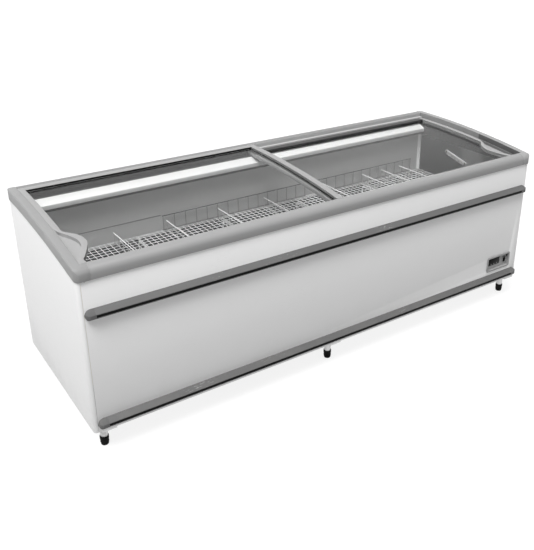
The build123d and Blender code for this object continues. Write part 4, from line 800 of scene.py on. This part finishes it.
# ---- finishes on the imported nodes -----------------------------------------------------
SLOTS = {row["node"]: row["material_slot"] for row in frame["record"]["subparts"]}
OWN_FINISH = {
    "rear_fences": "fence_wire",
    "wire_dividers": "divider_wire",
    "screws": "screw_steel",
    "thermometer": "scale_plate",
}


def finish_of(node):
    """A node's finish: one of its own, or that of its slot in the record."""
    return MATERIALS[OWN_FINISH.get(node, SLOTS[node])]


def finish_nodes():
    """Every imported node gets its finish."""
    for name, body in NODES.items():
        body.data.materials.clear()
        body.data.materials.append(finish_of(name))


# ---- modelling helpers ----------------------------------------------------------------
CORNER_ANGLE = 32
FLAT_ANGLE = 0.6
WELD_REACH = 0.00002


def only(piece):
    """Nothing but this piece is selected and active."""
    bpy.ops.object.select_all(action="DESELECT")
    piece.select_set(True)
    bpy.context.view_layer.objects.active = piece


def settle_place(piece):
    """The piece's place, turn and scale go into its mesh."""
    only(piece)
    bpy.ops.object.transform_apply(location=True, rotation=True, scale=True)


def own_mesh_copy(piece, name):
    """Copy of a piece with a mesh of its own."""
    made = piece.copy()
    made.data = piece.data.copy()
    made.name = name
    made.parent = None
    for key in list(made.keys()):
        if key.startswith("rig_"):
            del made[key]
    bpy.context.scene.collection.objects.link(made)
    return made


def round_edges(piece, width):
    """Small rounded edge along every sharp corner of a piece."""
    only(piece)
    edge = piece.modifiers.new("edge", "BEVEL")
    edge.width = width
    edge.segments = 2
    edge.limit_method = "ANGLE"
    edge.angle_limit = math.radians(CORNER_ANGLE)
    edge.miter_outer = "MITER_ARC"
    bpy.ops.object.modifier_apply(modifier=edge.name)


def smooth(piece, angle=CORNER_ANGLE):
    """Smooth shading, broken at corners sharper than the angle."""
    only(piece)
    bpy.ops.object.shade_smooth_by_angle(angle=math.radians(angle))


def dressed(node, width):
    """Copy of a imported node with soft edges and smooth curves, in the node's place."""
    made = own_mesh_copy(NODES[node], node + "_finished")
    only(made)
    bpy.ops.object.mode_set(mode="EDIT")
    bpy.ops.mesh.select_all(action="SELECT")
    bpy.ops.mesh.remove_doubles(threshold=WELD_REACH)
    bpy.ops.mesh.dissolve_limited(angle_limit=math.radians(FLAT_ANGLE))
    bpy.ops.mesh.select_all(action="DESELECT")
    bpy.ops.object.mode_set(mode="OBJECT")
    if width:
        round_edges(made, width)
    smooth(made)
    made.data.materials.clear()
    made.data.materials.append(finish_of(node))
    stand_for(made, node)
    return made


def on_body(piece, node):
    """The piece rides with a node's body."""
    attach(piece, body_of(NODES[node])[0])


def stand_for(piece, node):
    """The piece rides with a node's body and takes the node's place."""
    on_body(piece, node)
    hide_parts(node)


def cut_across(piece, point, normal):
    """New edges where a plane crosses the piece, so that a finish can end there."""
    only(piece)
    bpy.ops.object.mode_set(mode="EDIT")
    bpy.ops.mesh.select_all(action="SELECT")
    bpy.ops.mesh.bisect(plane_co=point, plane_no=normal)
    bpy.ops.object.mode_set(mode="OBJECT")


def second_finish(piece, material, chosen):
    """Faces that a test of centre and normal chooses take another finish."""
    piece.data.materials.append(MATERIALS[material])
    index = len(piece.data.materials) - 1
    for face in piece.data.polygons:
        if chosen(face.center, face.normal):
            face.material_index = index


def bar(name, start, end, radius, sides=8):
    """Straight wire with rounded ends between two points."""
    start, end = Vector(start), Vector(end)
    run = end - start
    turn = run.to_track_quat("Z", "Y").to_euler()
    bpy.ops.object.select_all(action="DESELECT")
    bpy.ops.mesh.primitive_cylinder_add(
        vertices=sides, radius=radius, depth=run.length, location=(start + end) / 2, rotation=turn
    )
    made = bpy.context.object
    made.name = name
    bpy.ops.object.mode_set(mode="EDIT")
    bpy.ops.mesh.select_all(action="SELECT")
    bpy.ops.mesh.bevel(offset=radius * 0.4, segments=1, affect="EDGES")
    bpy.ops.object.mode_set(mode="OBJECT")
    bpy.ops.object.transform_apply(location=True, rotation=True, scale=True)
    return made


def slab(name, low, high, edge=0.0004, material="black_seal_and_painted_shade"):
    """Flat strip between two corners, extruded from its face and with rounded edges."""
    low, high = Vector(low), Vector(high)
    size = high - low
    thin = min(range(3), key=lambda axis: size[axis])
    turn = {0: (0, math.radians(90), 0), 1: (math.radians(90), 0, 0), 2: (0, 0, 0)}[thin]
    bpy.ops.object.select_all(action="DESELECT")
    bpy.ops.mesh.primitive_plane_add(size=1, location=(0, 0, 0), rotation=turn)
    made = bpy.context.object
    made.name = name
    bpy.ops.object.transform_apply(location=True, rotation=True, scale=True)
    made.location = (low + high) / 2
    made.location[thin] = low[thin]
    made.scale = [1 if axis == thin else size[axis] for axis in range(3)]
    bpy.ops.object.transform_apply(location=True, rotation=True, scale=True)
    bpy.ops.object.mode_set(mode="EDIT")
    bpy.ops.mesh.select_all(action="SELECT")
    reach = [size[axis] if axis == thin else 0 for axis in range(3)]
    bpy.ops.mesh.extrude_region_move(TRANSFORM_OT_translate={"value": reach})
    bpy.ops.mesh.select_all(action="SELECT")
    bpy.ops.mesh.normals_make_consistent(inside=False)
    bpy.ops.mesh.bevel(offset=min(edge, size[thin] * 0.45), segments=2, affect="EDGES")
    bpy.ops.object.mode_set(mode="OBJECT")
    made.data.materials.append(MATERIALS[material])
    smooth(made, 40)
    return made


def turned(name, rings, sides=40):
    """Solid of revolution about Z, extruded ring by ring from a disc and capped."""
    radius, height = rings[0]
    bpy.ops.object.select_all(action="DESELECT")
    bpy.ops.mesh.primitive_circle_add(
        vertices=sides, radius=radius, fill_type="NGON", location=(0, 0, height)
    )
    made = bpy.context.object
    made.name = name
    bpy.ops.object.transform_apply(location=True, rotation=True, scale=True)
    bpy.ops.object.mode_set(mode="EDIT")
    bpy.ops.mesh.select_all(action="SELECT")
    for next_radius, next_height in rings[1:]:
        bpy.ops.mesh.extrude_region_move(
            TRANSFORM_OT_translate={"value": (0, 0, next_height - height)}
        )
        ratio = next_radius / radius
        bpy.ops.transform.resize(value=(ratio, ratio, 1), center_override=(0, 0, next_height))
        radius, height = next_radius, next_height
    bpy.ops.mesh.select_all(action="SELECT")
    bpy.ops.mesh.normals_make_consistent(inside=False)
    bpy.ops.object.mode_set(mode="OBJECT")
    return made


def repeat(piece, count, step):
    """The piece is repeated in a row by a step, in its own mesh."""
    only(piece)
    row = piece.modifiers.new("row", "ARRAY")
    row.count = count
    row.use_relative_offset = False
    row.use_constant_offset = True
    row.constant_offset_displace = step
    bpy.ops.object.modifier_apply(modifier=row.name)


def joined(name, *pieces):
    """Several pieces made one mesh with a name of its own."""
    only(pieces[0])
    for piece in pieces[1:]:
        piece.select_set(True)
    bpy.ops.object.join()
    made = bpy.context.object
    made.name = name
    return made


# ---- deck mesh ------------------------------------------------------------------------
DECK_WIRE = 0.0040
DECK_PITCH = 0.0268
DECK_Y = (-0.3440, 0.3420)
DECK_PANEL_WIDTH = 0.4666
DECK_PANEL_PITCH = 0.4696
FINE_RADIUS = 0.0021
FINE_INSET = 0.003
BEARER_RADIUS = 0.0025
BEARER_INSET = 0.006
BEARERS = 6


def deck_row(name, inset, z, radius, count, sides=8):
    """Wires along a deck panel, spread over its depth."""
    low, high = DECK_Y
    half = DECK_PANEL_WIDTH / 2
    wire = bar(name, (-half, low + inset, z), (half, low + inset, z), radius, sides)
    repeat(wire, count, (0, (high - low - 2 * inset) / (count - 1), 0))
    return wire


def make_deck_mesh():
    """Five welded panels: cross bars level with fine wires, on stout bearers."""
    low, high = DECK_Y
    z = DECK_LEVEL - DECK_WIRE / 2
    first = DECK_WIRE / 2 - DECK_PANEL_WIDTH / 2
    gaps = int(DECK_PANEL_WIDTH / DECK_PITCH)
    cross = bar("cross_bar", (first, low, z), (first, high, z), DECK_WIRE / 2)
    repeat(cross, gaps + 1, ((DECK_PANEL_WIDTH - DECK_WIRE) / gaps, 0, 0))
    lines = int((high - low) / DECK_PITCH)
    fine = deck_row("fine_wire", FINE_INSET, DECK_LEVEL - FINE_RADIUS, FINE_RADIUS, lines, 6)
    bearer_z = DECK_LEVEL - DECK_WIRE - BEARER_RADIUS
    bearer = deck_row("bearer", BEARER_INSET, bearer_z, BEARER_RADIUS, BEARERS)
    panel = joined("deck_mesh_3", cross, fine, bearer)
    smooth(panel, 40)
    panel.data.materials.clear()
    panel.data.materials.append(MATERIALS["deck_wire"])
    stand_for(panel, "deck_grids")
    for number, offset in ((1, -2), (2, -1), (4, 1), (5, 2)):
        made = own_mesh_copy(panel, f"deck_mesh_{number}")
        made.location.x = offset * DECK_PANEL_PITCH
        settle_place(made)
        on_body(made, "deck_grids")


# ---- levelling feet -------------------------------------------------------------------
CUP_RINGS = (
    (0.0130, 0.0000),
    (0.0150, 0.0006),
    (0.0163, 0.0030),
    (0.0168, 0.0070),
    (0.0172, 0.0130),
    (0.0182, 0.0136),
    (0.0183, 0.0162),
    (0.0174, 0.0168),
    (0.0178, 0.0270),
    (0.0187, 0.0276),
    (0.0189, 0.0400),
    (0.0186, 0.0420),
    (0.0170, 0.0420),
    (0.0167, 0.0410),
    (0.0166, 0.0330),
    (0.0070, 0.0325),
)
STUD_FOOT = (0.0062, 0.0322)
STUD_HEAD = ((0.0052, 0.1138), (0.0020, 0.1140))
THREAD = (0.046, 0.108)
THREAD_PITCH = 0.0016
THREAD_RADII = (0.0053, 0.0060)


def make_feet():
    """Ribbed cups that the leg tubes stand in, on threaded studs."""
    cup = turned("foot_cup", CUP_RINGS)
    smooth(cup, 35)
    cup.data.materials.append(MATERIALS["black_rubber"])
    rings = [STUD_FOOT]
    height, top = THREAD
    root, crest = THREAD_RADII
    while height < top:
        rings += [(root, height), (crest, height + THREAD_PITCH / 2)]
        height += THREAD_PITCH
    stud = turned("foot_stud", rings + list(STUD_HEAD), 20)
    stud.data.materials.append(MATERIALS["zinc"])
    smooth(stud, 60)
    foot = joined("foot_pattern", cup, stud)
    for number in range(1, 7):
        node = f"levelling_foot_{number}"
        low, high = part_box(node)
        made = own_mesh_copy(foot, f"foot_{number}_finished")
        made.location = ((low.x + high.x) / 2, (low.y + high.y) / 2, 0)
        settle_place(made)
        stand_for(made, node)
    bpy.data.objects.remove(foot)


# ---- track seal, painted shadow strips, control panel and thermometer -----------------
UPPER_LID_END = -0.030
TRACK_FACE_Y = 0.3750
TRACK_SEAL_SHADE = ((-1.205, TRACK_FACE_Y - 0.0016, 0.8636), (UPPER_LID_END, TRACK_FACE_Y, 0.8662))
LOAD_LINE = ((-1.166, 0.3472, 0.6275), (-0.562, 0.3480, 0.6315))
WINDOW_INSET = 0.0025
WINDOW_RAISE = 0.0004
TRAY_WALL = 0.0085
SHADOW_STRIP_LAYER = (0.0006, 0.0018)
SHADOW_STRIP_WIDTH = 0.0065


def make_track_seal_shade_and_load_line():
    """Black pile seal along the rear track behind the upper lid, its black also painted shade in
    the track's throat, and the load line.
    """
    on_body(slab("rear_track_seal_and_shade", *TRACK_SEAL_SHADE), "lid_tracks")
    on_body(slab("load_line", *LOAD_LINE, material="load_line"), "inner_liner")


def make_control_details():
    """Dark window over the controller, and black strips along the tray's top and right inner edges
    that paint the recess's shadow.
    """
    low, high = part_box("temperature_controller")
    face_y = low.y
    window = slab(
        "controller_window",
        (low.x + WINDOW_INSET, face_y - WINDOW_RAISE, low.z + WINDOW_INSET),
        (high.x - WINDOW_INSET, face_y, high.z - WINDOW_INSET),
        edge=0.0003,
        material="display_black",
    )
    on_body(window, "temperature_controller")
    # Near-black strips paint the shadow that the tray's top and right walls cast into the recess.
    low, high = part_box("control_bezel")
    top = high.z - TRAY_WALL
    near, far = (face_y + layer for layer in SHADOW_STRIP_LAYER)
    across = slab(
        "tray_painted_shadow_top",
        (low.x + 0.012, near, top - SHADOW_STRIP_WIDTH),
        (high.x - 0.010, far, top),
    )
    down = slab(
        "tray_painted_shadow_side",
        (high.x - 0.0095 - SHADOW_STRIP_WIDTH, near, top - 0.024),
        (high.x - 0.0095, far, top),
    )
    for strip in (across, down):
        on_body(strip, "control_bezel")


THERMOMETER_TILT = math.radians(14)
SCALE_RAISE = 0.0004
SHORT_MARK = ((-0.0606, 0.0030), (-0.0594, 0.0095))
LONG_MARK = ((-0.0625, -0.0095), (-0.0575, -0.0030))
END_MARKS = (((-0.082, -0.0095), (-0.070, 0.0095)), ((0.070, -0.0095), (0.082, 0.0095)))
COLUMN_REACH = 0.066
COLUMN_RADIUS = 0.0006


def make_thermometer_scale():
    """Graduations, reading column and dark end caps on the thermometer's plate."""
    low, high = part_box("thermometer")
    middle = (low + high) / 2

    def mark(name, corners, raise_by, edge):
        (y0, z0), (y1, z1) = corners
        return slab(name, (low.x - raise_by, y0, z0), (low.x + raise_by, y1, z1), edge, "scale_ink")

    tick = mark("tick", SHORT_MARK, SCALE_RAISE, 0.0001)
    repeat(tick, 13, (0, 0.010, 0))
    long_tick = mark("long_tick", LONG_MARK, SCALE_RAISE, 0.0001)
    repeat(long_tick, 5, (0, 0.030, 0))
    caps = [mark("scale_cap", corners, 0.0006, 0.0003) for corners in END_MARKS]
    x = low.x - SCALE_RAISE
    column = bar("column", (x, -COLUMN_REACH, 0.0004), (x, COLUMN_REACH, 0.0004), COLUMN_RADIUS, 10)
    column.data.materials.append(MATERIALS["scale_ink"])
    scale = joined("thermometer_scale", tick, long_tick, *caps, column)
    scale.rotation_euler = (THERMOMETER_TILT, 0, 0)
    scale.location = (0, middle.y, middle.z)
    settle_place(scale)
    on_body(scale, "thermometer")


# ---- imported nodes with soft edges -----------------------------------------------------
SOFT_EDGED = {
    "front_rim": 0.0010,
    "rear_rim": 0.0010,
    "side_rims": 0.0010,
    "bumper_rails": 0.0008,
    "bumper_end_caps": 0.0008,
    "bumper_inserts": 0.0006,
    "control_bezel": 0.0008,
    "temperature_controller": 0.0006,
    "switch_housing": 0.0006,
    "lamp_housing": 0.0008,
    "lamp_end_caps": 0.0008,
    "left_lid_frame": 0.0008,
    "right_lid_frame": 0.0008,
    "left_lid_grip_end": 0.0010,
    "right_lid_grip_end": 0.0010,
    "thermometer": 0.0006,
    "lid_tracks": 0,
    "throat_strips": 0,
    "inner_liner": 0,
    "lamp_diffuser": 0,
    "side_panels": 0.0005,
    "front_panel": 0.0005,
    "rear_panel": 0.0005,
    "compressor": 0.0008,
    "wire_dividers": 0,
    "rear_fences": 0,
    "condenser_coil": 0,
    "refrigerant_pipes": 0,
    "fan_shroud": 0.0006,
    "condenser_fan": 0,
    "fan_motor": 0.0006,
    "drain_pipe": 0,
    "leg_sockets": 0,
}

TANK_FLOOR_Z = 0.402
TANK_END_X = 1.1655
LID_RAIL_Y = 0.335
FENCE_TOP_Z = 0.625
DIVIDER_HEAD_Z = 0.598
RIM_END_X = 1.18
GRIP_WALL_X = 1.2
GRIP_BACK_Y = -0.085
TRACK_LIP_Z = 0.845
RIM_LIP_Z = 0.86

CUTS = {
    "side_rims": ((0, GRIP_BACK_Y, 0), (0, 1, 0)),
    "lid_tracks": ((UPPER_LID_END, 0, 0), (1, 0, 0)),
}

# Node, finish, and the test of a face's centre and normal.
SECOND_FINISHES = (
    # Floor of the tank: near-black painted shade under the deck.
    ("inner_liner", "tank_floor_painted_shade", lambda at, n: at.z < TANK_FLOOR_Z),
    # End walls of the tank take the lighter copy of the liner, painted light.
    ("inner_liner", "tank_end_painted_light", lambda at, n: at.z > TANK_FLOOR_Z and abs(at.x) > TANK_END_X),
    # Inner and lower faces of the left lid's rear frame: near-black, partly seal colour and partly
    # painted shade under the frame.
    ("left_lid_frame", "black_seal_and_painted_shade", lambda at, n: at.y > 0.3 and (n.y < -0.5 or n.z < -0.5)),
    # Top wire of the rear fence: near-black painted shadow line.
    ("rear_fences", "fence_top_painted_shade", lambda at, n: at.z > FENCE_TOP_Z),
    # Lower wires of the dividers take the darker copy, painted shade.
    ("wire_dividers", "divider_wire_painted_shade", lambda at, n: at.z < DIVIDER_HEAD_Z),
    # Right rim's faces by the grip: painted shade of the grip's hollow.
    (
        "side_rims",
        "grip_painted_shade",
        lambda at, n: at.x > RIM_END_X and n.x < -0.7 and at.y < GRIP_BACK_Y,
    ),
    # Right grip's faces turned to the left: painted shade of its hollow.
    ("right_lid_grip_end", "grip_painted_shade", lambda at, n: at.x > GRIP_WALL_X and n.x < -0.7),
    # Top of the track behind the right lid: painted light.
    (
        "lid_tracks",
        "lip_painted_light",
        lambda at, n: at.z > TRACK_LIP_Z and at.y > 0.34 and at.x > UPPER_LID_END,
    ),
    # Rear rim's inner wall: painted light.
    ("rear_rim", "lip_painted_light", lambda at, n: n.y < -0.7 and at.z > RIM_LIP_Z),
    # Rear rail of the right lid takes the darker copy, painted shade.
    ("right_lid_frame", "lid_rail_painted_shade", lambda at, n: at.y > LID_RAIL_Y),
)


def dress_curved_nodes():
    """Nodes whose shape is kept are shown with soft edges and smooth curves."""
    pieces = {node: dressed(node, width) for node, width in SOFT_EDGED.items()}
    for node, plane in CUTS.items():
        cut_across(pieces[node], *plane)
    for node, material, chosen in SECOND_FINISHES:
        second_finish(pieces[node], material, chosen)


bpy.context.scene.view_settings.view_transform = "Standard"
set_camera()
set_world()
sun("side_light", *SIDE_SUN)
sun("top_light", *TOP_SUN)
make_floor()
finish_nodes()
dress_curved_nodes()
make_deck_mesh()
make_feet()
make_track_seal_shade_and_load_line()
make_control_details()
make_thermometer_scale()
